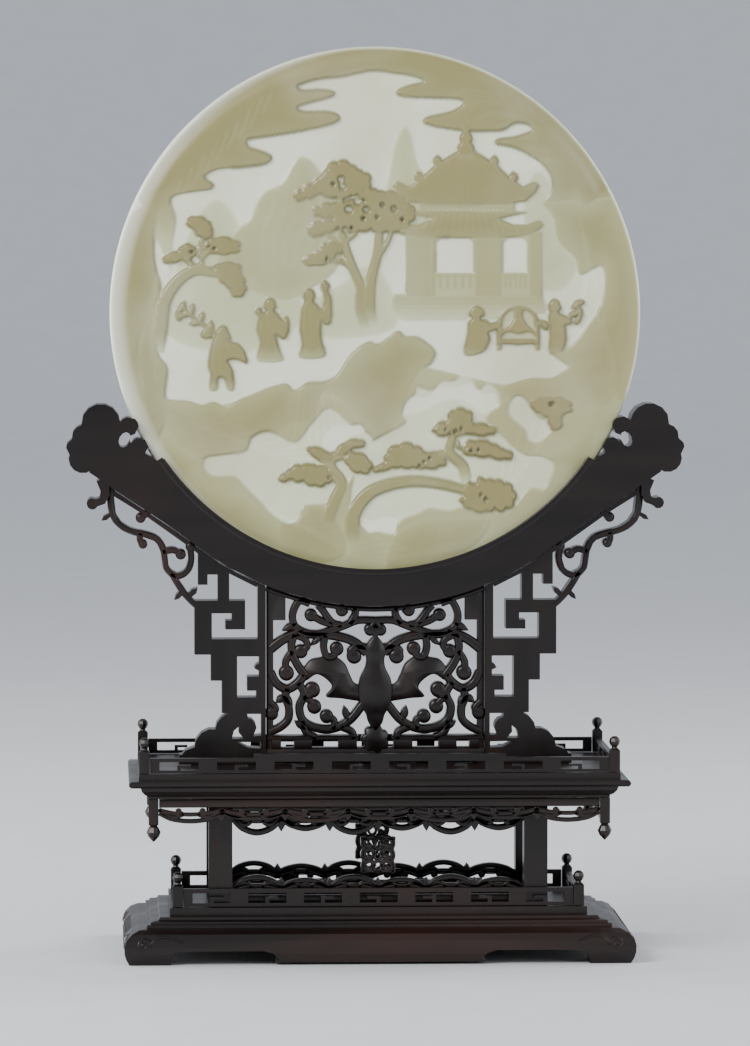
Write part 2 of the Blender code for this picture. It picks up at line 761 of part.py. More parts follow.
# The openwork panel's stems, one half, as (distance from the middle, height over the deck)
PANEL_STEMS = (
    (((31.0, 80.0), (36.0, 76.5), (39.0, 70.5), (38.0, 65.0), (33.5, 62.0), (28.0, 61.0),
      (22.0, 62.4), (14.5, 65.0), (8.0, 67.4), (0.0, 67.4)), 3.0, 3.0, 0.0),
    (((27.0, 79.0), (25.0, 72.5), (20.5, 66.5), (16.0, 65.0)), 3.0, 3.0, 0.0),
    (((20.4, 65.6), (25.0, 67.0), (30.4, 70.0)), 2.8, 3.0, 2.5),
    (((13.6, 78.0), (13.4, 74.6), (15.8, 72.2)), 3.0, 2.6, 2.4),
    (((12.0, 65.8), (9.6, 70.0), (9.6, 74.8), (10.4, 78.0)), 3.0, 3.0, 0.0),
    (((34.0, 62.2), (39.0, 60.6), (44.0, 58.2), (49.5, 54.0)), 3.6, 4.0, 0.0),
    (((0.0, 66.0), (2.4, 63.0)), 3.4, 3.0, 2.4),
    (((34.0, 61.0), (24.0, 60.6), (16.5, 59.6), (9.9, 57.2), (4.0, 52.0)), 3.4, 3.8, 0.0),
    (((4.0, 54.6), (8.4, 55.0), (11.6, 53.0), (10.0, 50.4)), 3.2, 3.0, 2.9),
    (((23.6, 60.6), (24.4, 55.0), (23.0, 50.6), (19.6, 50.6), (18.2, 54.0)), 3.0, 2.8, 2.7),
    (((38.0, 61.0), (39.6, 56.0), (38.8, 50.6), (36.2, 45.6), (33.2, 41.4)), 3.0, 3.6, 0.0),
    (((39.2, 53.0), (42.2, 48.0), (42.0, 42.6)), 2.8, 3.0, 3.0),
    (((37.6, 60.6), (33.2, 58.4), (32.2, 55.0), (35.2, 52.8)), 2.8, 2.8, 2.7),
    (((49.4, 43.0), (46.6, 37.6), (41.6, 35.0), (36.8, 37.6), (33.6, 41.6)), 3.4, 3.6, 0.0),
    (((41.6, 35.4), (42.4, 31.0), (40.8, 26.0), (41.2, 20.6), (44.8, 17.0), (50.0, 14.6)), 3.2, 3.2, 0.0),
    (((49.8, 29.0), (47.0, 25.8), (49.0, 23.4)), 2.6, 3.0, 2.6),
    (((36.4, 38.0), (33.6, 32.6), (35.8, 26.6), (34.6, 20.8), (30.4, 17.4), (23.2, 15.8),
      (16.5, 17.4), (11.0, 21.2), (6.4, 27.0), (2.6, 31.0)), 3.2, 3.6, 0.0),
    (((34.0, 31.0), (31.0, 32.0), (29.8, 34.6)), 2.8, 2.8, 3.1),
    (((34.0, 31.0), (31.0, 29.6), (28.8, 26.6)), 2.8, 2.8, 2.8),
    (((20.0, 16.0), (19.4, 20.0), (23.0, 22.0)), 2.8, 2.8, 2.7),
    (((34.6, 20.0), (32.8, 14.6), (28.0, 12.0)), 3.2, 2.6, 0.0),
    (((16.0, 17.0), (11.0, 14.6), (10.4, 11.0)), 3.0, 3.0, 0.0),
)
WING = ((3.0, 36.0), (9.0, 37.2), (11.8, 41.5), (14.4, 47.0), (20.0, 50.6), (26.5, 49.8), (31.0, 48.4),
        (34.6, 43.0), (33.0, 39.0), (27.8, 42.0), (22.8, 39.4), (20.4, 35.6), (23.2, 31.4), (16.5, 30.6),
        (9.0, 29.4), (3.0, 28.6))
PANEL_LEAVES = (((37.0, 66.4), (44.0, 62.6), 1.7), ((25.6, 60.0), (30.4, 55.6), 1.4),
                ((13.0, 20.0), (14.8, 27.0), 1.8), ((44.0, 32.0), (39.0, 27.4), 2.2),
                ((42.6, 32.0), (46.8, 28.6), 1.8), ((32.8, 16.0), (38.2, 19.8), 1.6))
PANEL_POSTS = ((44.6, 48.8), (30.0, 38.4), (8.7, 17.5))


def openwork_panel(wood):
    """Scrolling vines about a bat over a lotus, between two stiles and a pierced bottom rail."""
    across = PANEL_HALF_WIDTH / DRAWN_PANEL_HALF_WIDTH
    up = STAND_HEIGHT / DRAWN_STAND_HEIGHT
    half = [box(48.2, 51.35, 0.0, 112.0), box(42.4, 51.35, 67.7, 112.0), box(0.0, 51.35, 0.0, 7.4),
            box(8.0, 51.35, 10.8, 13.0), list(WING)]
    half += [box(left, right, 6.0, 12.0) for left, right in PANEL_POSTS]
    for stem, start_width, end_width, bud in PANEL_STEMS:
        half += vine(stem, start_width, end_width, bulb=bud, spans=2)
    half += [leaf(root, tip, fullness, steps=2) for root, tip, fullness in PANEL_LEAVES]
    body = [(4.7, 58.0), (4.9, 40.0), (4.2, 28.0), (2.6, 26.0), (0.0, 21.6)]
    half.append(body + [(0.0, 63.0), (3.0, 62.4)])
    half += [ellipse((0.0, 12.0), 5.0, 5.6, sides=12), box(0.0, 6.2, 6.5, 11.6)]
    to_disc = UPPER_DECK_Z + GAP - DISC_Z
    solids = shifted(scaled(mirrored(half), across, up), 0.0, to_disc)
    reach = math.degrees(math.asin(PANEL_HALF_WIDTH / (DISC_RADIUS + CRADLE_DEPTH)))
    seat = [polar(reach * (step / 12 - 1.0), cradle_reach(0.0) + 1.5) for step in range(25)]
    solids += ribbon(seat, 2.6, 2.6)
    inside = PANEL_HALF_WIDTH - 0.5 * GAP
    trims = [crescent_outline(0.5 * DISC_RADIUS, SEAT_CLEAR, ARM_ANGLE), box(inside, BEYOND, -BEYOND, BEYOND),
             box(-BEYOND, -inside, -BEYOND, BEYOND)]
    board = pierced_board(solids, trims, PANEL_THICKNESS)
    solid_object("openwork_panel", board, wood, (0.0, 0.0, DISC_Z))


# The disc's relief, drawn about its centre as (across, up)

def cloud_band():
    """The bank of cloud under the top rim, with its long rounded fingers."""
    fingers = [((-62.0, 92.0), (-21.0, 102.6), 3.4), ((-62.0, 82.0), (-24.0, 91.6), 4.6),
               ((-90.0, 70.0), (-56.0, 72.0), 3.8), ((-96.0, 62.0), (-80.0, 59.6), 3.0),
               ((60.0, 92.0), (28.0, 89.4), 3.4), ((70.0, 82.0), (61.0, 80.4), 3.0),
               ((40.0, 100.0), (14.0, 103.0), 3.0)]
    outline = [polar(angle, DISC_RADIUS - RIM_LEDGE) for angle in range(112, 249, 8)]
    inner = [(-107.0, 38.0), (-97.0, 52.0), (-92.0, 64.0), (-78.0, 72.0), (-62.0, 80.0), (-50.0, 90.0),
             (-36.0, 103.0), (-14.0, 108.4), (2.0, 113.0), (10.0, 109.0), (22.0, 107.0), (30.0, 101.0),
             (40.0, 95.0), (58.0, 87.0), (70.0, 80.0), (80.0, 66.0), (84.0, 60.0), (98.0, 46.0)]
    share = DISC_RADIUS / DRAWN_RADIUS
    return [outline + [(x * share, z * share) for x, z in inner]] + [
        capsule(*from_disc((start, end)), radius * 1.25, radius) for start, end, radius in fingers]


def border():
    """The smooth band that follows the rim on both sides, and the rocks along the bottom."""
    outer = DISC_RADIUS - RIM_LEDGE
    left = [polar(angle, outer) for angle in range(-118, -21, 8)]
    left += from_disc([(-52.0, -98.0), (-66.0, -84.0), (-80.0, -72.0), (-97.0, -56.0), (-104.0, -40.0),
                       (-104.0, -20.0), (-102.0, 8.0), (-106.0, 44.0)])
    right = [polar(angle, outer) for angle in range(22, 119, 8)]
    right += from_disc([(96.0, 50.0), (104.0, 34.0), (108.0, 20.0), (110.0, 0.0), (100.0, -24.0),
                        (104.0, -52.0), (90.0, -70.0), (72.0, -86.0), (60.0, -98.0)])
    bottom = [polar(angle, outer) for angle in range(-40, 41, 8)]
    bottom += from_disc([(66.0, -92.0), (48.0, -92.0), (38.0, -96.0), (24.0, -92.0), (10.0, -96.0),
                         (6.0, -110.0), (-12.0, -106.0), (-30.0, -98.0), (-44.0, -96.0), (-60.0, -86.0)])
    return [left, right, bottom]


def hills():
    """Far slopes and peaks behind the trees."""
    slope = from_disc([(-68.0, 30.0), (-60.0, 46.0), (-54.0, 58.0), (-42.0, 72.0), (-36.0, 73.0), (-31.0, 66.0),
                       (-26.0, 44.0), (-36.0, 28.0), (-52.0, 26.0)])
    peak = from_disc([(5.0, 58.0), (9.0, 78.0), (13.0, 86.0), (16.0, 84.0), (20.0, 68.0), (26.0, 56.0)])
    return [smooth(slope, 2, closed=True), smooth(peak, 2, closed=True)]


def pavilion():
    """Two tiers of upturned roof on posts: roofs and finial, then the walls below them."""
    def roof(half_width, low, high, ridge, lift):
        edge = [(-half_width, low + lift), (-half_width * 0.8, low + 1.0), (-half_width * 0.5, low - 0.8)]
        side = [(half_width * 0.62, low + (high - low) * 0.42), (ridge, high)]
        right_edge = [(-x, z) for x, z in edge]
        return edge + right_edge[::-1] + side + [(-x, z) for x, z in side[::-1]]
    middle = 42.6
    top = [(x + middle, z) for x, z in roof(34.4, 52.0, 74.0, 4.6, 8.0)]
    lower = [(x + middle, z) for x, z in roof(36.6, 36.8, 46.4, 27.0, 5.0)]
    spire = [(middle - 3.6, 73.0), (middle + 3.6, 73.0), (middle + 2.0, 84.0), (middle - 2.0, 84.0)]
    ridges = [ellipse((middle + side * reach, height), 1.8, sides=6)
              for side in (-1, 1) for reach, height in ((14.0, 71.4), (22.5, 63.6))]
    walls = [box(middle - 28.0, middle - 17.0, 8.0, 40.0), box(middle + 4.0, middle + 16.4, 8.0, 40.0),
             box(middle - 30.0, middle + 32.0, 4.0, 20.0), box(middle + 28.4, middle + 36.0, 8.0, 40.0),
             box(middle - 22.0, middle + 24.0, 36.0, 52.0)]
    return [from_disc(shape) for shape in [top, lower, spire] + ridges], [from_disc(wall) for wall in walls]


TREE_CLUMPS = (
    (-16.0, 64.0, 9.6, 5.8, 7, 12.0), (-30.0, 58.0, 6.0, 3.0, 5, 20.0), (6.0, 50.0, 15.0, 6.6, 9, 0.0),
    (-13.0, 48.0, 11.0, 4.6, 7, 0.0), (-12.0, 41.0, 14.0, 4.0, 8, 8.0), (10.0, 42.0, 14.0, 5.0, 8, 0.0),
    (-24.0, 25.0, 9.4, 4.4, 6, 12.0), (-82.0, 40.6, 6.4, 4.8, 6, 0.0), (-69.6, 31.0, 8.4, 4.6, 6, -8.0),
    (-66.4, 14.4, 6.4, 8.8, 7, 30.0), (-88.0, 28.6, 4.4, 4.4, 5, 0.0),
    (-32.0, -76.0, 13.0, 5.0, 8, 8.0), (-25.0, -65.0, 7.0, 3.2, 5, -28.0), (-12.0, -64.0, 6.6, 3.2, 5, 25.0),
    (-7.0, -71.0, 7.4, 4.6, 6, -30.0), (20.0, -66.0, 17.0, 6.4, 9, 8.0), (44.0, -51.4, 14.0, 5.8, 8, 6.0),
    (54.0, -62.0, 12.0, 4.0, 7, -8.0), (54.0, -82.0, 14.0, 8.4, 8, -12.0), (78.0, -42.0, 9.0, 7.0, 7, 0.0),
)
TREE_TRUNKS = (
    ((-10.0, -4.0), (-8.0, 14.0), (-13.0, 30.0), (-16.0, 50.0), (-15.0, 62.0)),
    ((-6.0, -4.0), (-4.0, 12.0), (-1.0, 30.0), (2.0, 44.0)),
    ((-14.0, 24.0), (-19.0, 24.0), (-24.0, 24.0)),
    ((-101.0, -4.0), (-98.0, 10.0), (-90.0, 19.0), (-80.0, 19.6), (-70.0, 17.0)),
    ((-86.0, 20.0), (-81.0, 30.0), (-82.0, 38.0)), ((-82.0, 28.0), (-74.0, 30.0)),
    ((-18.0, -100.0), (-20.0, -92.0), (-15.0, -80.0), (-19.0, -70.0), (-14.0, -66.0)),
    ((-18.0, -78.0), (-28.0, -76.0)), ((-14.0, -68.0), (-9.0, -70.0)),
    ((-12.0, -112.0), (-9.0, -96.0), (4.0, -80.0), (20.0, -76.0), (36.0, -78.0), (50.0, -82.0)),
    ((40.0, -78.0), (40.0, -66.0), (34.0, -62.0), (42.0, -53.0)), ((38.0, -62.0), (50.0, -62.0)),
    ((34.0, -64.0), (24.0, -66.0)),
)
TRUNK_WIDTH = 5.0
TRUNK_TIP = 3.0


def trees():
    """Gnarled trunks under scalloped pads of foliage."""
    shapes = [lobed(*from_disc([(x, z)]), across, up, lobes, tilt=tilt)
              for x, z, across, up, lobes, tilt in TREE_CLUMPS]
    trunks = []
    for path in TREE_TRUNKS:
        trunks += ribbon(smooth(from_disc(path), 2), TRUNK_WIDTH, TRUNK_TIP)
    return shapes, trunks


def standing_figure(x, z, height, lean=0.0):
    """A robed walker: hem, body, sleeve and head."""
    def at(across, up):
        return (x + (across + lean * up) * height, z + up * height)
    robe = [at(-0.24, 0.0), at(0.22, 0.0), at(0.16, 0.3), at(0.22, 0.56), at(0.12, 0.78), at(-0.12, 0.78),
            at(-0.22, 0.56), at(-0.16, 0.3)]
    return [from_disc(robe), ellipse(*from_disc([at(0.0, 0.88)]), 0.12 * height, sides=8),
            capsule(*from_disc([at(0.1, 0.62), at(0.34, 0.44)]), 0.09 * height, steps=2)]


def figures():
    """Four travellers on the path, a carried load and a leafy branch."""
    shapes = standing_figure(-70.0, -36.0, 26.0, 0.06) + standing_figure(-49.0, -22.0, 27.0)
    shapes += standing_figure(-28.0, -22.0, 34.0) + standing_figure(50.0, -20.0, 22.0, -0.05)
    shapes += standing_figure(86.0, -20.0, 25.0)
    staff = [capsule(*from_disc([(-20.6, -12.0), (-19.6, 14.0)]), 1.4, steps=2)]
    branch = [capsule(*from_disc([(-66.0, -14.0), (-92.0, 4.0)]), 1.5, 1.2, steps=2),
              lobed(*from_disc([(-90.0, 2.0)]), 5.4, 3.4, 5, depth=0.35, tilt=-35.0),
              lobed(*from_disc([(-79.0, -7.0)]), 4.2, 3.4, 5, depth=0.35, tilt=-35.0)]
    pole = [capsule(*from_disc([(52.0, -4.0), (88.0, -0.6)]), 1.6, steps=2)]
    load = [ellipse(*from_disc([(67.6, -6.0)]), 9.4, 10.4, sides=14),
            box(*(value * DISC_RADIUS / DRAWN_RADIUS for value in (58.4, 77.0, -17.6, -8.0)))]
    return shapes + staff + branch + pole + load


def ledges():
    """The path's edges, the great rock in the middle and the banks of the stream."""
    upper = from_disc([(-104.0, -42.0), (-90.0, -42.0), (-82.0, -42.6), (-72.0, -44.0), (-60.0, -38.0),
                       (-50.0, -35.0), (-42.0, -33.0), (-36.0, -36.0), (-24.0, -32.0), (-14.0, -26.0),
                       (-4.0, -14.0), (4.0, -14.0), (12.0, -8.6), (16.0, -11.0), (24.0, -12.0),
                       (30.0, -18.0), (26.0, -26.0), (18.0, -34.0), (14.0, -42.0), (10.0, -52.0),
                       (2.0, -61.0), (-8.0, -58.0), (-16.0, -46.0), (-30.0, -44.0), (-44.0, -56.0),
                       (-52.0, -62.0), (-60.0, -68.0), (-78.0, -68.0), (-84.0, -66.0), (-100.0, -66.0)])
    right = from_disc([(60.0, -34.0), (72.0, -30.0), (84.0, -30.0), (94.0, -24.0), (104.0, -12.0),
                       (112.0, -8.0), (112.0, -40.0), (96.0, -44.0), (80.0, -48.0), (62.0, -44.0)])
    return [upper, right]


def jade_disc(jade):
    plate_radius = DISC_RADIUS
    circle = [polar(360.0 * step / DISC_SIDES, plate_radius) for step in range(DISC_SIDES)]
    roofs, walls = pavilion()
    foliage, trunks = trees()
    layers = [
        (0.0, [circle]),
        (1.0 * RELIEF_STEP, hills()),
        (3.0 * RELIEF_STEP, walls + ledges() + border()),
        (4.0 * RELIEF_STEP, cloud_band() + roofs + trunks),
        (5.0 * RELIEF_STEP, foliage + figures()),
    ]
    plate = stepped_plate(layers, 0.5 * DISC_PLATE, -0.5 * DISC_PLATE)
    solid_object("jade_disc", plate, jade, (0.0, 0.0, DISC_Z))


# Railings

def finial_post(name, x, y, z, height, wood):
    """A square post with a turned neck and a ball on top."""
    half = 0.5 * POST_SIDE
    ball = height + 0.5 + BALL_RADIUS
    rings = [eight_points(half, 0.0, 0.0), eight_points(half, height - 1.0, 0.0),
             eight_points(0.62 * half, height, 1.0), eight_points(0.5 * half, height + 0.5, 1.0)]
    for angle in (-35.0, 0.0, 35.0, 68.0):
        tilt = math.radians(angle)
        rings.append(eight_points(BALL_RADIUS * math.cos(tilt), ball + BALL_RADIUS * math.sin(tilt), 1.0))
    solid_object(name, stacked_rings(rings), wood, (x, y, z), crease=40.0)


def rail_board(length, height, crest):
    """A rail with a row of pierced bays, a hook in each and a raised middle."""
    half = 0.5 * length
    bays = max(2, round(length / RAIL_BAY))
    pitch = length / bays
    solids = [box(-half, half, 0.0, height)]
    if crest:
        solids.append(box(-0.55 * half, 0.55 * half, 0.5 * height, height + crest))
    holes, hooks = [], []
    low, high = 0.2 * height, 0.76 * height
    stroke = 0.2 * (high - low)
    for bay in range(bays):
        middle = -half + (bay + 0.5) * pitch
        left, right = middle - 0.34 * pitch, middle + 0.34 * pitch
        sign = 1 if middle < 0 else -1
        holes.append(box(left, right, low, high))
        hooks.append(box(middle - stroke, middle + stroke, low - 0.2, low + 0.62 * (high - low)))
        tip = middle + sign * 0.2 * pitch
        hooks.append(box(min(middle, tip), max(middle, tip), low + 0.36 * (high - low), low + 0.62 * (high - low)))
    return pierced_board(counter_holes(solids, holes, hooks), [], RAIL_THICKNESS, TRIM_TOLERANCE)


def railing(prefix, half_x, half_y, deck, post_height, rail_height, crest, wood):
    """Four corner posts and the four rails between them."""
    for side_x, side_y, place in ((-1, -1, "front_left"), (1, -1, "front_right"),
                                  (-1, 1, "back_left"), (1, 1, "back_right")):
        finial_post(f"{prefix}_post_{place}", side_x * half_x, side_y * half_y, deck + GAP, post_height, wood)
    clear = POST_SIDE + 2.0 * GAP
    for side, place in ((-1, "front"), (1, "back")):
        board = rail_board(2.0 * half_x - clear, rail_height, crest)
        solid_object(f"{prefix}_rail_{place}", board, wood, (0.0, side * half_y, deck + GAP))
    for side, place in ((-1, "left"), (1, "right")):
        board = rail_board(2.0 * half_y - clear, rail_height, 0.0)
        solid_object(f"{prefix}_rail_{place}", board, wood, (side * half_x, 0.0, deck + GAP), turn=90.0)


# The base

def base_plinth(wood):
    """A bulging apron on four feet under stepped mouldings, carved as one low stand."""
    out = BAND_INSET
    top = BULGE_HEIGHT + MOULDING_HEIGHT
    profile = [(out - 2.4, 0.0), (out - 1.0, 2.6), (out - 0.2, 5.2), (out, 8.4), (out - 0.9, 11.4),
               (out - 3.4, 14.2), (out - 7.0, 15.9), (out - 10.6, BULGE_HEIGHT),
               (out - 10.8, BULGE_HEIGHT + 1.4), (out - 12.4, BULGE_HEIGHT + 1.6),
               (out - 12.6, BULGE_HEIGHT + 2.6), (out - 16.0, BULGE_HEIGHT + 3.2),
               (out - 16.8, top), (0.0, top), (0.0, LOWER_DECK_Z)]
    plinth = solid_object("base_plinth", moulded_slab(BASE_HALF_X - out, BASE_HALF_Y - out, profile), wood,
                          crease=25.0)
    well = moulded_slab(BASE_HALF_X - APRON_THICKNESS, BASE_HALF_Y - APRON_THICKNESS,
                        [(0.0, -5.0), (0.0, BULGE_HEIGHT - 5.0)])
    cut(plinth, solid_object("well_cutter", well, wood))
    reach_x = BASE_HALF_X - FOOT_WIDTH
    for side in (-1, 1):
        low, high = TONGUE_HALF_WIDTH, reach_x
        arch = [(low, -3.0), (high + 1.0, -3.0), (high + 1.6, 2.0), (high - 0.4, FOOT_HEIGHT - 0.8),
                (high - 4.0, FOOT_HEIGHT), (low + 6.0, FOOT_HEIGHT), (low + 1.6, FOOT_HEIGHT - 1.4),
                (low - 1.0, FOOT_HEIGHT - 4.0), (low + 1.0, 1.5)]
        cutter = pierced_board([[(side * x, z) for x, z in arch]], [], 3.0 * BASE_HALF_Y)
        cut(plinth, solid_object(f"arch_cutter_{'left' if side < 0 else 'right'}", cutter, wood))
    side_reach = BASE_HALF_Y - FOOT_WIDTH
    arch = [(-side_reach, -3.0), (side_reach, -3.0), (side_reach, 2.0), (side_reach - 2.0, FOOT_HEIGHT),
            (2.0 - side_reach, FOOT_HEIGHT), (-side_reach, 2.0)]
    cutter = pierced_board([arch], [], 3.0 * BASE_HALF_X)
    cut(plinth, solid_object("arch_cutter_sides", cutter, wood, turn=90.0))
    tongue = pierced_board([box(-TONGUE_HALF_WIDTH - 4.0, TONGUE_HALF_WIDTH + 4.0, -3.0, TONGUE_CLEAR)], [],
                           3.0 * BASE_HALF_Y)
    cut(plinth, solid_object("tongue_cutter", tongue, wood))


# The open storey

def legs(wood):
    half = 0.5 * LEG_SIDE
    height = LEG_HEIGHT - 2.0 * GAP
    for side_x, side_y, place in ((-1, -1, "front_left"), (1, -1, "front_right"),
                                  (-1, 1, "back_left"), (1, 1, "back_right")):
        rings = [eight_points(half, level, 0.0) for level in (0.0, height)]
        for ring in rings:
            for index in (0, 2, 4, 6):
                ring[index] = tuple(0.93 * value if axis < 2 else value for axis, value in enumerate(ring[index]))
        solid_object(f"leg_{place}", stacked_rings(rings), wood,
                     (side_x * LEG_X, side_y * LEG_Y, LOWER_DECK_Z + GAP))


def garland_board(length, height, hangs, cusps):
    """An openwork frieze: a bar, a row of looped strands and a small drop at each meeting."""
    half = 0.5 * length
    bar = 0.42 * height
    solids = [box(-half, half, height - bar, height)]
    pitch = length / hangs
    strand = 0.13 * height + 0.6
    for index in range(hangs):
        left = -half + index * pitch
        depth = height * (0.98 if index % 2 == 0 else 0.82)
        for reach in (depth, depth - 2.4 * strand):
            path = [(left - 0.4, height - 0.52 * bar - 0.3 * reach), (left + 0.16 * pitch, height - 0.78 * reach),
                    (left + 0.5 * pitch, height - reach + 0.5 * strand),
                    (left + 0.84 * pitch, height - 0.78 * reach), (left + pitch + 0.4, height - 0.52 * bar - 0.3 * reach)]
            solids += ribbon(path, strand, strand)
        if index:
            solids.append(leaf((left, height - 0.8 * bar), (left, height - (0.9 + 0.05 * cusps) * height), 1.5, steps=2))
    trims = [box(half, 2.0 * half, -height, 2.0 * height), box(-2.0 * half, -half, -height, 2.0 * height),
             box(-2.0 * half, 2.0 * half, -height, 0.0)]
    return pierced_board(solids, trims, FRIEZE_THICKNESS, TRIM_TOLERANCE)


def turned_over(board, height):
    """The same board upside down."""
    for corner in board.verts:
        corner.co.z = height - corner.co.z
        corner.co.x = -corner.co.x
    return board


def friezes(wood):
    """Looped openwork between the legs, hanging from the platform and rising from the base."""
    long_run = 2.0 * LEG_X - LEG_SIDE - 2.0 * GAP
    short_run = 2.0 * LEG_Y - LEG_SIDE - 2.0 * GAP
    upper_z = UPPER_UNDERSIDE_Z - UPPER_FRIEZE_HEIGHT - GAP
    lower_z = LOWER_DECK_Z + GAP
    runs = (("front", long_run, (0.0, -LEG_Y), 0.0), ("back", long_run, (0.0, LEG_Y), 180.0),
            ("left", short_run, (-LEG_X, 0.0), 270.0), ("right", short_run, (LEG_X, 0.0), 90.0))
    for place, length, (x, y), turn in runs:
        hangs = max(2, round(length / FRIEZE_BAY))
        upper = garland_board(length, UPPER_FRIEZE_HEIGHT, hangs, 1)
        solid_object(f"upper_frieze_{place}", upper, wood, (x, y, upper_z), turn=turn)
        lower = turned_over(garland_board(length, LOWER_FRIEZE_HEIGHT, hangs, 1), LOWER_FRIEZE_HEIGHT)
        solid_object(f"lower_frieze_{place}", lower, wood, (x, y, lower_z), turn=turn)


def struts(wood):
    """A pierced lattice post in the middle of the front and of the back."""
    height = LEG_HEIGHT - UPPER_FRIEZE_HEIGHT - LOWER_FRIEZE_HEIGHT - 4.0 * GAP
    rows = 2
    pitch = height / rows
    half = STRUT_HALF_WIDTH
    solids = [box(-half, half, 0.0, 1.8), box(-half, half, height - 1.8, height)]
    for row in range(rows):
        low = row * pitch
        for side in (-1, 1):
            solids += ribbon([(side * 0.75 * half, low - 0.2), (side * 0.3, low + 0.5 * pitch),
                              (side * 0.75 * half, low + pitch + 0.2)], 2.2, 2.2)
            solids.append(ellipse((side * 0.78 * half, low + 0.5 * pitch), 1.7, 1.7, sides=8))
            solids += ribbon([(0.0, low + 0.5 * pitch), (side * 0.8 * half, low + 0.5 * pitch)], 1.6, 1.6)
    trims = [box(-2.0 * half, 2.0 * half, -4.0, 0.0), box(-2.0 * half, 2.0 * half, height, height + 4.0)]
    z = LOWER_DECK_Z + LOWER_FRIEZE_HEIGHT + 2.0 * GAP
    for side, place in ((-1, "front"), (1, "back")):
        board = pierced_board(solids, trims, FRIEZE_THICKNESS, TRIM_TOLERANCE)
        solid_object(f"strut_{place}", board, wood, (0.0, side * LEG_Y, z))


# The upper platform

def upper_platform(wood):
    """The deck: a fillet, a rounded flange and an ovolo that tucks in under it."""
    top = DECK_THICKNESS
    flange_top = top - 3.2
    flange_low = flange_top - FLANGE_HEIGHT
    profile = [(-4.6, 0.0), (-4.6, 1.0), (-2.8, 2.0), (-1.4, 3.6), (-0.8, flange_low - 0.4),
               (FLANGE_REACH - 1.0, flange_low), (FLANGE_REACH, flange_low + 1.0),
               (FLANGE_REACH, flange_top - 1.0), (FLANGE_REACH - 1.0, flange_top), (0.4, flange_top),
               (0.0, flange_top + 0.4), (0.0, top)]
    slab = moulded_slab(DECK_HALF_X, DECK_HALF_Y, profile)
    solid_object("upper_platform", slab, wood, (0.0, 0.0, UPPER_UNDERSIDE_Z), crease=25.0)


def scroll_apron(length):
    """A hanging board: an arched bar over curls, pierced between them."""
    half = 0.5 * length
    height = UPPER_APRON_HEIGHT
    bays = max(2, round(length / APRON_BAY))
    pitch = length / bays
    solids = [box(-half, half, 0.62 * height, height), box(-half, half, 0.0, 0.16 * height)]
    for bay in range(bays):
        middle = -half + (bay + 0.5) * pitch
        for side in (-1, 1):
            edge = middle + side * 0.5 * pitch
            solids += vine([(edge, 0.7 * height), (edge - side * 0.14 * pitch, 0.22 * height),
                            (edge - side * 0.3 * pitch, 0.1 * height), (edge - side * 0.34 * pitch, 0.36 * height)],
                           2.4, 1.8, bulb=1.5, spans=1)
        solids.append(leaf((middle, 0.75 * height), (middle, 0.02 * height), 1.7, steps=2))
    trims = [box(half, 2.0 * half, -height, 2.0 * height), box(-2.0 * half, -half, -height, 2.0 * height),
             box(-2.0 * half, 2.0 * half, -height, 0.0)]
    return pierced_board(solids, trims, UPPER_APRON_THICKNESS, TRIM_TOLERANCE)


def hanging_trim(wood):
    """Corner pendants under the platform and the scrolled aprons between them."""
    x = DECK_HALF_X - PENDANT_INSET
    y = DECK_HALF_Y - PENDANT_INSET
    half = 0.5 * PENDANT_SIDE
    top = UPPER_UNDERSIDE_Z - GAP
    bud = 8.0
    for side_x, side_y, place in ((-1, -1, "front_left"), (1, -1, "front_right"),
                                  (-1, 1, "back_left"), (1, 1, "back_right")):
        rings = [eight_points(0.3, 0.0, 1.0), eight_points(0.55 * PENDANT_SIDE, 2.4, 1.0),
                 eight_points(0.72 * PENDANT_SIDE, 4.4, 1.0), eight_points(0.5 * PENDANT_SIDE, 6.6, 1.0),
                 eight_points(0.36 * PENDANT_SIDE, 7.4, 1.0), eight_points(half, bud, 0.0),
                 eight_points(half, PENDANT_LENGTH, 0.0)]
        solid_object(f"corner_pendant_{place}", stacked_rings(rings), wood,
                     (side_x * x, side_y * y, top - PENDANT_LENGTH), crease=40.0)
    clear = PENDANT_SIDE + 2.0 * GAP
    low = top - UPPER_APRON_HEIGHT
    for side, place in ((-1, "front"), (1, "back")):
        solid_object(f"upper_apron_{place}", scroll_apron(2.0 * x - clear), wood, (0.0, side * y, low))
    for side, place in ((-1, "left"), (1, "right")):
        solid_object(f"upper_apron_{place}", scroll_apron(2.0 * y - clear), wood, (side * x, 0.0, low), turn=90.0)


def build():
    for item in list(bpy.data.objects):
        bpy.data.objects.remove(item, do_unlink=True)
    jade = material("pale_jade", JADE_COLOUR, 0.28)
    wood = material("dark_rosewood", WOOD_COLOUR, 0.32)
    jade_disc(jade)
    crescent_cradle(wood)
    fret_side("fret_side_left", -1, wood)
    fret_side("fret_side_right", 1, wood)
    openwork_panel(wood)
    upper_platform(wood)
    railing("upper", DECK_HALF_X - UPPER_POST_INSET, DECK_HALF_Y - UPPER_POST_INSET, UPPER_DECK_Z,
            UPPER_POST_HEIGHT, UPPER_RAIL_HEIGHT - RAIL_CREST, RAIL_CREST, wood)
    hanging_trim(wood)
    legs(wood)
    friezes(wood)
    struts(wood)
    railing("lower", BASE_HALF_X - BAND_INSET - LOWER_POST_INSET, BASE_HALF_Y - BAND_INSET - LOWER_POST_INSET,
            LOWER_DECK_Z, LOWER_POST_HEIGHT, LOWER_RAIL_HEIGHT, 0.0, wood)
    base_plinth(wood)


build()
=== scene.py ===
"""The jade table screen as photographed: finely carved disc, dark polished stand, soft studio light.

Places in the frame are in metres. Carving is drawn in millimetres as (across, up), on the disc about
its centre, and becomes metres through MM.
"""

import math

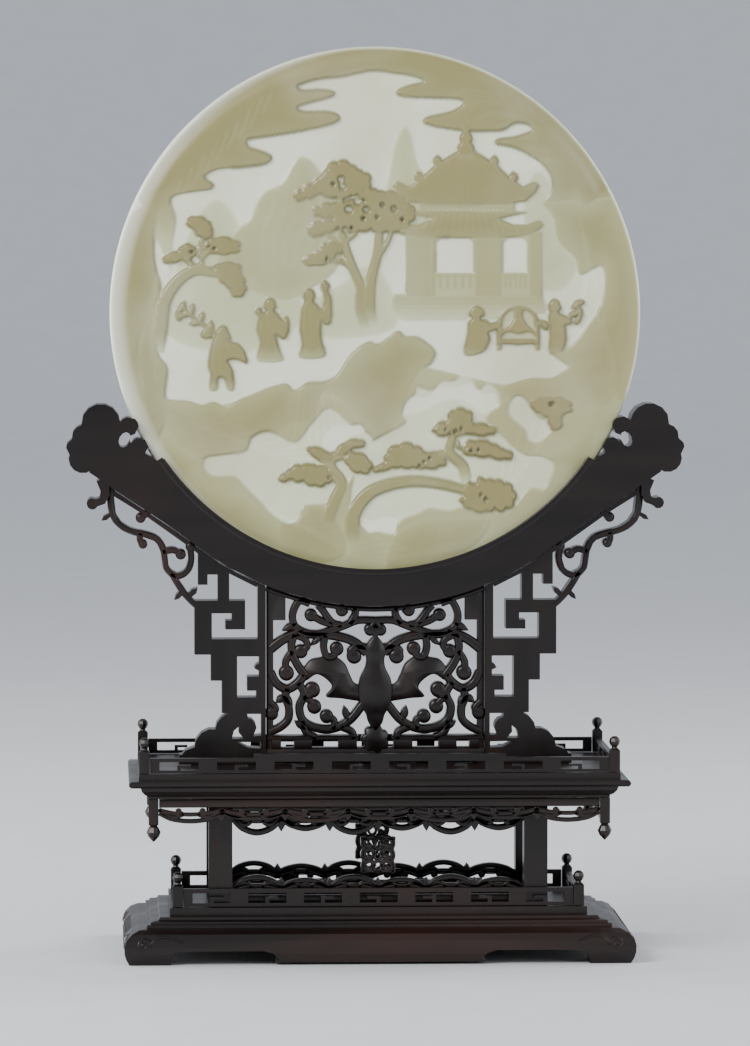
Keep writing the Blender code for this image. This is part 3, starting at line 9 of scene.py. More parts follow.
import bmesh
import bpy
import numpy as np
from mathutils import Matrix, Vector


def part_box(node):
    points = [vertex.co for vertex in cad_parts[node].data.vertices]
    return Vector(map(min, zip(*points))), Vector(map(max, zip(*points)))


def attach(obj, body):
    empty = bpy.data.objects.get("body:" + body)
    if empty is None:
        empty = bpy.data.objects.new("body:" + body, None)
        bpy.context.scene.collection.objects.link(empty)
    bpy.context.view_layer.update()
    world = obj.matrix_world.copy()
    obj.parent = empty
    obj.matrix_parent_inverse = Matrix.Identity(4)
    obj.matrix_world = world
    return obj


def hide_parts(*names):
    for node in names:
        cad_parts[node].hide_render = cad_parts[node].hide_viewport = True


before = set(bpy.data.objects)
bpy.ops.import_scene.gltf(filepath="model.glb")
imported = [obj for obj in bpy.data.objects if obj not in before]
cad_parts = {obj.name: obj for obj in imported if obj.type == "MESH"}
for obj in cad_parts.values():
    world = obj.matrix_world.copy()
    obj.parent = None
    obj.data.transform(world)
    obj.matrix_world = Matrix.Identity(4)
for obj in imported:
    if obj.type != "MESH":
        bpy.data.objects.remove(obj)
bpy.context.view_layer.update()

MM = 0.001

# The disc, from its solid: its centre and back in metres, all else in millimetres
disc_low, disc_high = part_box("jade_disc")
DISC_RADIUS = 500.0 * (disc_high[0] - disc_low[0])
DISC_CENTRE = (0.5 * (disc_low[0] + disc_high[0]), 0.5 * (disc_low[2] + disc_high[2]))
DISC_BACK = disc_high[1]
RELIEF_TOP = 3.0
PLATE = 7.0
RIM_ROUND = 1.6
RIM_LEDGE = 3.0
RIM_HEIGHT = 1.2
BACK_TONE = 0.45
DRAWN_RADIUS = 125.0
DRAWN_EDGE = DRAWN_RADIUS - 1.0
RIM_FADE = 6.0
RIM_STEPS = ((0.0, RIM_ROUND), (0.45, 0.45), (RIM_ROUND, 0.0))

# Heights of the carved layers over the thinnest ground
GROUND = 0.0
FAR = 0.7
MIDDLE = 1.3
NEAR = 1.8
FRONT = 2.35
WALKER = FRONT - 0.15
BANK = 1.95

# What is left of a shape where it has sunk away, and where the cloud bank does: (height, width above it)
FADED = 0.35
BANK_FADE = (34.0, 26.0)

# The width of a crisp edge, the points along the grid's side and the limits of the sums
CUT = 0.9
GRID = 299
WINDOW_MARGIN = 2.0
TINY = 1e-9
FAR_OFF = 1e9

# The bare ground's swell, the marks of the tools, and the slopes that get painted shade as dark lines along
# the cut edges
GROUND_LIFT = 0.12
GROUND_ROLL = 0.1
TOOL_MARKS = 0.03
EDGE_SHADE_SLOPE = 0.25
EDGE_SHADE_SPAN = 1.1

# How far the painted glow of light reaches in from the rim, at the right and more at the left, and its least
# strength
PAINTED_GLOW_LEAST = 1.5
PAINTED_GLOW_MORE = 7.0
PAINTED_GLOW_FLOOR = 0.35


# Outlines

def turned(x, z, along, over, tilt):
    """Points given from a centre, turned about it by some degrees."""
    turn = math.radians(tilt)
    return np.column_stack([x + along * math.cos(turn) - over * math.sin(turn),
                            z + along * math.sin(turn) + over * math.cos(turn)])


def ellipse(x, z, across, up, tilt=0.0, sides=28):
    angles = np.linspace(0.0, math.tau, sides, endpoint=False)
    return turned(x, z, across * np.cos(angles), up * np.sin(angles), tilt)


def lobed(x, z, across, up, lobes, tilt=0.0, depth=0.13):
    """A scalloped pad, as foliage and clouds are cut."""
    angles = np.linspace(0.0, math.tau, lobes * 8, endpoint=False)
    swell = 1.0 - depth + depth * np.abs(np.sin(0.5 * lobes * angles)) ** 0.7 * 1.6
    return turned(x, z, across * swell * np.cos(angles), up * swell * np.sin(angles), tilt)


def flowing(points, spans=6, closed=True):
    """A smooth curve through the points."""
    knots = np.array(points, dtype=float)
    if closed:
        knots = np.vstack([knots[-1:], knots, knots[:2]])
    else:
        knots = np.vstack([2.0 * knots[:1] - knots[1:2], knots, 2.0 * knots[-1:] - knots[-2:-1]])
    shares = np.linspace(0.0, 1.0, spans, endpoint=False)[:, None]
    parts = []
    for before, start, end, after in zip(knots, knots[1:], knots[2:], knots[3:]):
        parts.append(0.5 * (2.0 * start + (end - before) * shares
                            + (2.0 * before - 5.0 * start + 4.0 * end - after) * shares ** 2
                            + (3.0 * start - before - 3.0 * end + after) * shares ** 3))
    curve = np.vstack(parts)
    return curve if closed else np.vstack([curve, knots[-2:-1]])


def arc(start, end, radius, steps=40):
    """Points on the disc, from one angle to another, measured from straight down towards +X."""
    angles = np.radians(np.linspace(start, end, steps))
    return np.column_stack([radius * np.sin(angles), -radius * np.cos(angles)])


def headings(path):
    """The direction of a path at each of its points."""
    along = np.gradient(path, axis=0)
    return along / (np.linalg.norm(along, axis=1)[:, None] + TINY)


def eased(share):
    """A share from 0 to 1 that sets off and arrives slowly."""
    return share * share * (3.0 - 2.0 * share)


def nearest_square(x, z, starts, ends):
    """The squared distance of each point from the nearest of the stretches between starts and ends."""
    nearest = np.full(x.size, FAR_OFF)
    for start, end in zip(starts, ends):
        along = end - start
        length = max(float(along @ along), TINY)
        share = np.clip(((x - start[0]) * along[0] + (z - start[1]) * along[1]) / length, 0.0, 1.0)
        gap = (x - start[0] - share * along[0]) ** 2 + (z - start[1] - share * along[1]) ** 2
        nearest = np.minimum(nearest, gap)
    return nearest


# The carved surface, as heights over a round grid

def round_grid(count):
    """A square grid spread evenly over a disc of radius 1, with its rim as one clean circle."""
    line = np.linspace(-1.0, 1.0, count)
    a, b = np.meshgrid(line, line)
    wide = np.abs(a) >= np.abs(b)
    radius = np.where(wide, a, b)
    safe = np.where(radius == 0.0, 1.0, radius)
    angle = np.where(wide, 0.25 * math.pi * b / safe, 0.5 * math.pi - 0.25 * math.pi * a / safe)
    return radius * np.cos(angle), radius * np.sin(angle)


class Relief:
    """Heights and finish of every point of the carved face."""

    def __init__(self, count):
        x, z = round_grid(count)
        self.count = count
        self.x = (x * DISC_RADIUS).ravel()
        self.z = (z * DISC_RADIUS).ravel()
        self.height = np.zeros(self.x.size)
        self.leafy = np.zeros(self.x.size)
        self.scale = DISC_RADIUS / DRAWN_RADIUS

    def window(self, outline, margin):
        """The points close to an outline."""
        low, high = outline.min(axis=0) - margin, outline.max(axis=0) + margin
        across = (self.x > low[0]) & (self.x < high[0])
        up = (self.z > low[1]) & (self.z < high[1])
        return np.nonzero(across & up)[0]

    def depth_inside(self, where, outline):
        """Distance from the outline, positive inside it."""
        x, z = self.x[where], self.z[where]
        ends = np.roll(outline, -1, axis=0)
        inside = np.zeros(x.size, dtype=bool)
        for start, end in zip(outline, ends):
            along = end - start
            crossing = (start[1] > z) != (end[1] > z)
            if abs(along[1]) > TINY:
                inside ^= crossing & (x < start[0] + (z - start[1]) * along[0] / along[1])
        return np.where(inside, 1.0, -1.0) * np.sqrt(nearest_square(x, z, outline, ends))

    def raise_to(self, outline, level, dome=0.0, dome_width=8.0, edge=CUT, leafy=False, fade=None):
        """Leaves the shape standing at a level, crisp at its edge and swelling by dome inside.

        fade is (height, width): over that width the shape sinks, down to its lowest at that height.
        """
        outline = np.asarray(outline, dtype=float) * self.scale
        where = self.window(outline, WINDOW_MARGIN)
        inside = self.depth_inside(where, outline)
        share = eased(np.clip(0.5 + inside / edge, 0.0, 1.0))
        swell = np.clip(inside / dome_width, 0.0, 1.0)
        top = level + dome * swell * (2.0 - swell)
        if fade:
            sink = np.clip((self.z[where] / self.scale - fade[0]) / fade[1], 0.0, 1.0)
            top = top * (FADED + (1.0 - FADED) * sink)
        risen = self.height[where] + (top - self.height[where]) * share
        self.height[where] = np.maximum(self.height[where], risen)
        if leafy:
            self.leafy[where] = np.maximum(self.leafy[where], share)

    def sink_to(self, outline, level, edge=CUT):
        """Cuts an opening down to a level."""
        outline = np.asarray(outline, dtype=float) * self.scale
        where = self.window(outline, WINDOW_MARGIN)
        share = np.clip(0.5 + self.depth_inside(where, outline) / edge, 0.0, 1.0)
        lower = self.height[where] + (level - self.height[where]) * share
        self.height[where] = np.minimum(self.height[where], lower)
        self.leafy[where] *= 1.0 - share

    def stroke(self, path, width, level, taper=0.4, **options):
        """A trunk, stem or staff that tapers along a path."""
        path = np.asarray(path, dtype=float)
        along = headings(path)
        side = np.column_stack([-along[:, 1], along[:, 0]])
        half = 0.5 * width * np.linspace(1.0, taper, len(path))[:, None]
        self.raise_to(np.vstack([path + side * half, (path - side * half)[::-1]]), level, **options)

    def engrave(self, path, width, depth):
        """A fine groove along a path, or a ridge where depth is negative."""
        path = np.asarray(path, dtype=float) * self.scale
        where = self.window(path, 3.0 * width)
        nearest = nearest_square(self.x[where], self.z[where], path, path[1:])
        self.height[where] -= depth * np.exp(-nearest / (width * width))

    def groove(self, points, width, depth):
        """A fine groove that flows through the points."""
        self.engrave(flowing(points, closed=False), width, depth)

    def groove_row(self, count, first, steps, width, depth):
        """A row of grooves, whose points move on by their steps from each to the next."""
        for index in range(count):
            self.groove(np.array(first) + index * np.array(steps), width, depth)


def to_rim(edge, start, end):
    """A shape between a flowing edge and the rim, from one angle to another."""
    return np.vstack([flowing(edge, closed=False), arc(start, end, DRAWN_EDGE)])


def block(left, right, low, high):
    return np.array([(left, low), (left, high), (right, high), (right, low)])


def ripples(x, z, seed, size):
    """Smooth rolling variation, mostly between -1 and 1."""
    picker = np.random.default_rng(seed)
    total = np.zeros(x.size)
    for _ in range(7):
        heading = picker.uniform(0.0, math.tau)
        pitch = size * picker.uniform(0.6, 1.8)
        total += np.sin((x * math.cos(heading) + z * math.sin(heading)) * math.tau / pitch
                        + picker.uniform(0.0, math.tau))
    return total / 4.0


# The scene on the disc, from the far sky to the front

SKY_EDGE = (
    (-96, 20), (-95.5, 32), (-94, 44), (-96, 54), (-86, 57), (-78, 58), (-76.4, 60.4), (-80.4, 64),
    (-74, 67.6), (-63, 68.4), (-52, 70), (-48.6, 73.2), (-54, 76), (-59.6, 78), (-60, 81.4), (-50, 83),
    (-35, 85.4), (-20, 89), (-16.8, 92), (-22, 94.4), (-34, 94.6), (-37, 96.6), (-31, 98.6), (-21, 101.4),
    (-19.4, 103.6), (-26, 104.8), (-35, 104.6), (-36.6, 107.6), (-30, 109.4), (-16, 111), (-2, 113.6),
    (9, 112.6), (20, 110.6), (22.6, 108.4), (16, 106.8), (10, 104), (13, 101.6), (26, 101), (38, 100.6),
    (41.6, 98.6), (36, 94.6), (25, 92), (22.6, 89.6), (29, 87.4), (42, 85.6), (52, 85.4), (60, 86),
    (66, 89.2), (72, 88.4), (73.6, 85.6), (66, 82.8), (57.6, 81.4), (57, 79.4), (66, 77.4), (76, 72),
    (82, 66), (83.4, 59), (80, 52)
)
SKY_INNER = (
    (-104, 30), (-100, 56), (-88, 70), (-72, 78), (-66, 92), (-44, 104), (-20, 112), (6, 117), (34, 110),
    (60, 98), (84, 82), (92, 66), (98, 50)
)
LEFT_EDGE = (
    (-97, -48), (-99, -38), (-98, -26), (-102, -20), (-104, -8), (-103, 4), (-101, 12), (-104, 26),
    (-103, 44), (-95, 60)
)
RIGHT_EDGE = (
    (78, 52), (84, 44), (86, 34), (94, 26), (97, 18), (107, 22), (108, 8), (100, -6), (92, -16),
    (84, -20)
)


def carve_sky(relief):
    """The cloud bank under the top rim with its long fingers, and mottled layers inside it."""
    relief.raise_to(to_rim(SKY_EDGE, 116, 244), BANK, dome=0.35, dome_width=16, fade=BANK_FADE)
    relief.raise_to(to_rim(SKY_INNER, 118, 242), BANK + 0.3, dome=0.3, dome_width=10, edge=1.2,
                    fade=BANK_FADE)
    relief.groove_row(9, [(-92, 62), (-94, 55), (-97, 49)], (5.4, 5.6), 0.8, 0.22)
    relief.groove_row(7, [(52, 104), (43, 105), (35, 102)], (6, -5.6), 0.9, 0.16)


def carve_border(relief):
    """The cliff-like bands down both sides, fading towards the polished rim."""
    relief.raise_to(to_rim(LEFT_EDGE, -112, -58), MIDDLE + 0.4, dome=0.5, dome_width=14, edge=1.4)
    relief.raise_to(to_rim(RIGHT_EDGE, 70, 116), MIDDLE, dome=0.7, dome_width=18, edge=1.6)
    for index in range(9):
        x = -98.0 - 1.6 * index
        lean = 3.0 * math.sin(1.7 * index)
        top = 40.0 - 7.0 * index
        relief.groove([(x, top), (x - 2.0 + lean, top - 18.0), (x + lean, top - 36.0)], 0.8, 0.14)
        top = 44.0 - 8.0 * index
        relief.groove([(-x - 2.0, top), (-x + 2.0 - lean, top - 18.0), (-x - lean, top - 36.0)], 0.9, 0.16)


# Far slopes: outline and level
SLOPES = (
    ([(-75, 20), (-66, 38), (-59, 44), (-54, 55), (-44, 61), (-37, 72), (-31, 71.4), (-24, 62), (-16, 40),
     (-18, 22), (-30, 12), (-46, 6)], 1),
    ([(-98, -10), (-92, 26), (-84, 44), (-76, 53), (-68, 48), (-60, 34), (-40, 14), (-30, 0), (-60, -18)],
     0.42),
    ([(0, 40), (6, 62), (9, 78), (13, 86.6), (16.6, 84), (20, 70), (28, 58), (30, 44)], 0.66),
    ([(-30, 4), (-16, 14), (-4, 22), (6, 14), (10, -6), (-10, -12), (-28, -10)], 0.42),
    ([(70, 52), (76, 66), (84, 58), (90, 42), (96, 24), (86, 10), (72, 18)], 0.5),
)


def carve_hills(relief):
    """Low far slopes behind the trees and the pavilion, with faint folds."""
    for outline, level in SLOPES:
        relief.raise_to(flowing(outline), level, dome=0.35, dome_width=22, edge=2.2)
    relief.groove_row(6, [(-48, 52), (-53, 38), (-54, 22)], [(5, -3), (5, -2), (5, 0)], 1.6, 0.1)


def roof_outline(middle, low, high, reach, ridge, lift):
    """A roof with eaves that turn up at both ends."""
    rise = high - low
    half = [(0.0, low), (0.55 * reach, low + 0.2), (0.82 * reach, low + 1.6),
            (0.95 * reach, low + 0.62 * lift), (reach, low + lift), (0.94 * reach, low + lift + 1.6),
            (0.78 * reach, low + 0.9 * lift), (0.6 * reach, low + 0.5 * rise),
            (0.42 * reach, low + 0.74 * rise), (ridge, high)]
    right = [(middle + x, z) for x, z in half]
    left = [(middle - x, z) for x, z in half[::-1]]
    return np.array(right + left[:-1])


# The pavilion, drawn about its middle
PAVILION_X = 42.6
TERRACE = ((-35, 2), (-34, 8.6), (36, 9), (38, 0), (10, -3.6), (-30, -4))
WALL_HEIGHTS = (8, 38)
COLUMNS = ((-28, -17), (4.4, 16.8), (30, 36), (-16.6, -14.6))
BAYS = ((-14, 3.6), (17.6, 29))


def carve_terrace(relief):
    """The stepped ground that the pavilion stands on."""
    terrace = [(PAVILION_X + x, z) for x, z in TERRACE]
    relief.raise_to(np.array(terrace), FAR + 0.45, dome=0.2, edge=1.2, fade=(-4, 10))
    for step in range(4):
        z = 1.0 + 2.2 * step
        relief.engrave([(PAVILION_X - 31, z), (PAVILION_X + 33, z)], 0.4, 0.16)


def carve_rooms(relief):
    """The pavilion's wall, columns and two open bays, each with a railing of five posts."""
    low, high = WALL_HEIGHTS
    relief.raise_to(block(PAVILION_X - 28, PAVILION_X + 36, low, high), FAR + 0.3)
    for left, right in COLUMNS:
        relief.raise_to(block(PAVILION_X + left, PAVILION_X + right, low, high), MIDDLE + 0.15)
    for left, right in BAYS:
        start, end = PAVILION_X + left, PAVILION_X + right
        opening = [(start, 18.6), (start, 33), (start + 2, 35.2), (end - 2, 35.2), (end, 33), (end, 18.6)]
        relief.sink_to(opening, GROUND + 0.1)
        for post in range(5):
            x = start + (post + 0.5) * (right - left) / 5.0
            relief.raise_to(ellipse(x, 14.2, 0.7, 3), MIDDLE + 0.1)
        relief.engrave([(start, 17.4), (end, 17.4)], 0.5, -0.35)


def carve_roofs(relief):
    """Two tiled roofs with a frieze of small dots between them, and a finial."""
    middle = PAVILION_X
    relief.raise_to(roof_outline(middle, 35.4, 47.4, 36.6, 29, 6.4), NEAR, dome=0.4, dome_width=6)
    relief.raise_to(block(middle - 22, middle + 23, 46.6, 51.6), MIDDLE)
    for dot in range(17):
        relief.sink_to(ellipse(middle - 17.4 + 2.16 * dot, 48.4, 0.62, 0.62, sides=10), FAR, edge=0.5)
    relief.raise_to(roof_outline(middle, 51, 76, 34.4, 3.6, 9), NEAR + 0.15, dome=0.5, dome_width=7)
    for reach, height in ((13.4, 71.4), (22.4, 63.8), (-13.4, 71.4), (-22.4, 63.8)):
        relief.raise_to(ellipse(middle + reach, height, 1.9, 2.2), NEAR + 0.3)
    for height, across, up in ((77.4, 3.9, 2.8), (82, 2.9, 3), (86.4, 1.8, 2.2)):
        relief.raise_to(ellipse(middle, height, across, up), FRONT)
    relief.stroke([(middle, 86), (middle, 89), (middle, 92.4)], 1.5, NEAR, taper=0.3)
    for rib in range(-9, 10):
        spread = rib / 9.0
        tiles = [(middle + 2.8 * spread, 74), (middle + 12 * spread, 63), (middle + 27 * spread, 53.6)]
        relief.groove(tiles, 0.34, 0.2)
        relief.engrave([(middle + 25 * spread, 46.4), (middle + 32 * spread, 37.6)], 0.34, 0.2)


# Foliage pads: (across, up, half width, half height, lobes, tilt), and holes: (across, up, size)
CENTRE_PADS = (
    (-16.4, 65.4, 7.6, 6, 7, 0), (-23.4, 60, 5.4, 5, 6, 10), (-8.6, 61.6, 6.6, 5.4, 6, 0),
    (-30.4, 57.4, 4.4, 3.4, 5, 20), (-35.6, 55.2, 2.8, 2.6, 5, 0), (-17, 57.4, 9, 3.6, 7, 0),
    (-1.6, 54.4, 6.4, 3.8, 6, 0), (6.4, 52.6, 7.6, 4.6, 7, 0), (-20.4, 48.2, 9, 3.6, 8, 4),
    (-6, 48.8, 12, 5.2, 9, 0), (11.6, 46.6, 7, 6, 8, 0), (-23.6, 40.6, 8, 3, 7, 6),
    (-10, 42.2, 11, 4.2, 9, 0), (5, 42.2, 11, 4.4, 8, 0), (-28, 38, 3.6, 2.2, 5, 0),
    (-20.6, 30.2, 5.4, 3.2, 6, 0), (-25.6, 26, 6.6, 3.4, 6, 14), (-30.4, 24.6, 3.6, 2.4, 5, 0)
)
CENTRE_HOLES = (
    (-16.2, 62.8, 1.7), (-20, 60.6, 0.9), (-15.6, 59.6, 1.6), (-8.4, 52.4, 1.7), (-12.6, 48.8, 1.9),
    (-4.4, 48.6, 1.6), (3.2, 50.8, 1.2), (8.6, 49, 1.4), (-14.4, 52.6, 0.8), (-6, 44.4, 1),
    (-14.4, 39, 1.4), (-11.4, 39.8, 0.8), (0.6, 45.2, 0.9), (-23, 25.4, 0.8), (12.6, 44, 0.9),
    (-5.8, 52.8, 0.8), (-17.8, 39.6, 0.8)
)
LEFT_PADS = (
    (-83, 41.8, 5.6, 3.4, 6, -16), (-80.4, 38, 4, 3.4, 5, 0), (-71.4, 31.6, 7.8, 4, 6, -6),
    (-75.6, 31, 4.4, 3, 5, 0), (-88.4, 28.4, 4.2, 4, 6, 0), (-94.4, 26.2, 5.6, 2.4, 6, 16),
    (-69.6, 20.8, 6.6, 3, 6, 0), (-67.6, 16.4, 6.4, 4.6, 7, -30), (-64.6, 11.4, 3.6, 4, 6, -30)
)
LEFT_HOLES = (
    (-84.4, 25, 2), (-82.6, 35.2, 1), (-78.4, 31.4, 0.7), (-76, 30.4, 0.7), (-76.2, 21, 0.8),
    (-86.6, 28.8, 0.9)
)
LOWER_PADS = (
    (-34.6, -75.4, 7.2, 4, 8, 6), (-28, -76.6, 7.6, 5, 8, -6), (-42.4, -77.4, 3.4, 1.8, 5, 20),
    (-26, -66.4, 6.4, 2.4, 5, -22), (-8, -70.6, 6.8, 4.4, 6, -30), (-14.6, -64, 5, 2.4, 5, 30),
    (-9.4, -61.6, 4.6, 2, 5, 0), (13.4, -67.4, 8.8, 5.8, 7, 6), (22.4, -69.4, 11, 4, 9, -4),
    (4.6, -72.4, 6, 1.8, 6, 18), (35, -54.4, 7.8, 3.6, 7, 6), (40, -49.4, 6, 4.2, 6, 0),
    (48.6, -55, 8.4, 2.8, 7, -4), (49, -64, 9.4, 3.8, 7, -4), (58, -66.4, 7, 2.6, 6, -10),
    (51, -84.6, 9, 6.4, 8, -10), (58.6, -86.4, 7.6, 7, 8, -20), (48, -90, 8, 3.6, 7, -14),
    (84, -44.4, 8.6, 4.6, 8, 0), (78, -43, 4.6, 3, 6, 0), (85, -51, 3.2, 4.4, 5, 0)
)
LOWER_HOLES = (
    (20.6, -72.4, 0.8), (22.8, -70.2, 0.7), (25.4, -68.4, 0.7), (18, -74, 0.7), (37.6, -56, 1.1),
    (40.4, -54.6, 0.7), (35, -57, 0.7), (45, -65, 0.8), (48.4, -64.6, 0.7), (52, -88, 0.9),
    (49.6, -85.8, 0.7), (41.4, -62, 1.9), (46.4, -79, 1.8), (83, -43, 1.2), (-22, -77.6, 0.7),
    (33, -55, 0.6)
)
# Trunks and branches: path and width
TRUNKS = (
    (((-5, -8), (-7, 2), (-7, 12), (-11, 22), (-15, 34), (-17, 46), (-16, 60)), 5),
    (((-2, -6), (-3, 4), (-2, 16), (1, 28), (2, 42)), 6.2),
    (((-10, 20), (-15, 24), (-22, 24.6)), 3),
    (((-14, 30), (-19, 34), (-24, 38)), 2.6),
    (((1, 26), (6, 34), (9, 42)), 2.6),
    (((-14, 34), (-9, 38), (-8, 44)), 2.4),
    (((-103, -18), (-101, -6), (-99, 6), (-93, 15), (-85, 20), (-76, 19), (-68, 18)), 7),
    (((-83, 19), (-82, 27), (-82, 36)), 3.8),
    (((-82, 26), (-76, 31), (-72, 31)), 2.8),
    (((-84, 20), (-89, 25), (-93, 26)), 3),
    (((-18, -106), (-22, -98), (-19, -88), (-16, -80), (-21, -72), (-19, -66)), 6.6),
    (((-17, -80), (-23, -75), (-29, -76)), 2.8),
    (((-20, -73), (-26, -69), (-29, -66)), 2.6),
    (((-20, -68), (-14, -65), (-10, -62)), 2.2),
    (((-20, -69), (-14, -68), (-9, -70)), 2.4),
    (((-9, -112), (-11, -104), (-10, -94), (-3, -85), (8, -80.6), (20, -79.4), (32, -81), (44, -84)),
     7.6),
    (((43, -80), (41, -72), (35, -66), (36, -60), (38, -54)), 5.4),
    (((35, -66), (27, -67), (20, -68)), 3.4),
    (((38, -62), (45, -63), (52, -64)), 3.4),
    (((36, -58), (44, -56), (50, -55)), 2.4),
)


def carve_trees(relief):
    """Gnarled trunks under scalloped pads, pierced by small round holes."""
    for path, width in TRUNKS:
        curve = flowing(path, closed=False)
        root = (path[0][1] + 1.0, 8.0) if width > 4.0 else None
        relief.stroke(curve, width, NEAR, taper=0.5, dome=0.35, dome_width=2.4, fade=root)
        relief.engrave(curve, 0.35, 0.14)
    for x, z, across, up, lobes, tilt in CENTRE_PADS + LEFT_PADS + LOWER_PADS:
        relief.raise_to(lobed(x, z, across, up, lobes, tilt), FRONT, dome=0.25, dome_width=3, leafy=True)
        low, reach = z - 0.2 * up, 0.22 * across
        for curl in (x - 0.5 * across, x, x + 0.5 * across):
            relief.groove([(curl - reach, low), (curl, z + 0.35 * up), (curl + reach, low)], 0.4, 0.12)
    for x, z, size in CENTRE_HOLES + LEFT_HOLES + LOWER_HOLES:
        relief.sink_to(lobed(x, z, size, 0.9 * size, 4, depth=0.08), GROUND + 0.1, edge=0.6)


WALKERS = {
    "bearer": [(-78, -36), (-77.4, -29), (-78.6, -24), (-77, -15), (-74.6, -9), (-71.6, -7.6),
     (-68.6, -10), (-68, -13.6), (-64.6, -14.6), (-61.6, -18.4), (-60.4, -23.6), (-63.4, -22.4),
     (-66.4, -21.6), (-69.6, -22.6), (-67.4, -27), (-66.6, -35.6), (-69.4, -36), (-71.4, -30.4),
     (-74.2, -31), (-74.4, -36)],
    "elder": [(-55.4, -22.4), (-54, -14), (-55.8, -8), (-55, -2), (-56.6, 0.6), (-54.6, 2.4),
     (-52.2, 0.6), (-52, 3.6), (-49.6, 6.2), (-47, 3.6), (-46, -0.6), (-43.6, -3.4), (-42.4, -1.4),
     (-40.8, -3.6), (-41, -9), (-43.2, -12.4), (-46.8, -10), (-45.6, -16), (-43.8, -22.4)],
    "tall elder": [(-35.4, -21), (-34.4, -15), (-35.4, -8), (-34.8, 0.6), (-33.4, 5.6), (-33.6, 8.6),
     (-31.6, 10.6), (-29, 9), (-28.2, 5), (-26.4, 2.2), (-24.6, 2.6), (-24, 8.2), (-25.4, 12.4),
     (-24.4, 15.4), (-22.8, 14.4), (-21.6, 12.6), (-22.4, 10.4), (-20.8, 6), (-21, -4), (-23.6, -5.4),
     (-25.4, -4), (-25.6, -12), (-24, -20.4)],
    "left carrier": [(42.2, -19.6), (43.6, -9), (44, -2.6), (45.2, 1.6), (50.6, 1.8), (51.6, -2.4),
     (54.4, -5), (59.6, -3.6), (58.6, -7.2), (53.4, -9.2), (54, -12.6), (50.8, -18.4)],
    "right carrier": [(82.4, -19), (82.4, -10), (82.2, -5.4), (77.6, -3.6), (77.8, -5.6), (81, -8.2),
     (82, -2), (81.8, 3.4), (84.4, 5.4), (87.2, 3), (88.2, -1), (92, -2.6), (92.4, -5.4), (89.6, -6),
     (90, -12), (88, -18.6)],
}
# Heads: (across, up, the sides with a notch at the neck)
NECK_REACH = 3.2
HEADS = (
    (-71.9, -8.8, (1,)), (-49.6, 4.2, (-1, 1)), (-31.3, 8.6, (-1, 1)), (47.6, 0.4, (-1, 1)),
    (84.4, 3.4, (-1, 1))
)
FOLDS = (
    ((-75, -12), (-74, -20), (-74, -28)),
    ((-71, -12), (-70, -18), (-66, -19)),
    ((-52, -2), (-51, -10), (-52, -18)),
    ((-48, -2), (-49, -10), (-47, -19)),
    ((-32, 2), (-31, -8), (-32, -17)),
    ((-29, 0), (-28, -10), (-27, -18)),
    ((-30, -5), (-26, -4), (-22, -3)),
    ((47, -4), (46, -11), (46, -17)),
    ((85, 0), (85, -8), (85, -16)),
    ((-25, 0), (-23, -1), (-22, -4)),
)
# Leaves: (across, up, tilt)
BRANCH_LEAVES = (
    (-91, 3, 60), (-89.6, -0.6, 20), (-86.4, 1.6, 80), (-84.6, -4.6, 10), (-82, -2.2, 70),
    (-79.6, -8.6, 30), (-77.4, -6.4, 90), (-79.4, -10.6, 0), (-92.6, -1, 100)
)
RIGHT_LEAVES = ((94.6, 3.6, 50), (96.4, 0.6, 110), (93.6, -0.6, 20), (96.2, 4.6, 10), (95.6, -3.4, 60))
LOAD_OPENINGS = (
    ((59.6, -8), (60.4, -1.6), (64.6, 1.6), (65.6, -2), (63, -6.4)),
    ((75, -8), (74.4, -1.6), (70.2, 1.6), (69.4, -2), (72, -6.4)),
    ((59.8, -10.4), (63, -8.8), (67.4, -9.8), (72, -8.8), (75, -10.4), (73.4, -13), (61.4, -13)),
)


def carve_walkers(relief):
    """Generic robed travellers: a branch bearer, two elders and two bearers of a framed load."""
    for outline in WALKERS.values():
        foot = -38 if outline[0][1] < -30 else -23
        relief.raise_to(flowing(outline, spans=4), WALKER, dome=0.35, dome_width=3.4, fade=(foot, 8))
    for x, z, sides in HEADS:
        for side in sides:
            relief.sink_to(ellipse(x + side * NECK_REACH, z - 3, 1.3, 1.2, sides=12), GROUND + 0.1)
        relief.raise_to(ellipse(x, z, 2.5, 2.9, sides=16), WALKER, dome=0.3, dome_width=2)
    for fold in FOLDS:
        relief.groove(fold, 0.45, 0.22)
    relief.stroke([(-68, -12), (-76, -9), (-86, -2), (-92, 4)], 1.6, WALKER, taper=0.8)
    for x, z, tilt in BRANCH_LEAVES:
        relief.raise_to(ellipse(x, z, 2.7, 1.3, tilt), WALKER + 0.1)
    for x, z, tilt in RIGHT_LEAVES:
        relief.raise_to(ellipse(x, z, 2.5, 1.3, tilt), WALKER)


def carve_load(relief):
    """The round framed load on its bar and two short legs."""
    relief.raise_to(ellipse(67.4, -6, 9.8, 9), WALKER)
    for opening in LOAD_OPENINGS:
        relief.sink_to(flowing(opening), FAR)
    relief.raise_to(block(57.6, 77, -14.6, -12.6), WALKER)
    for x in (58.4, 76.4):
        relief.raise_to(block(x - 0.9, x + 0.9, -17.6, -8), WALKER, fade=(-20, 6))


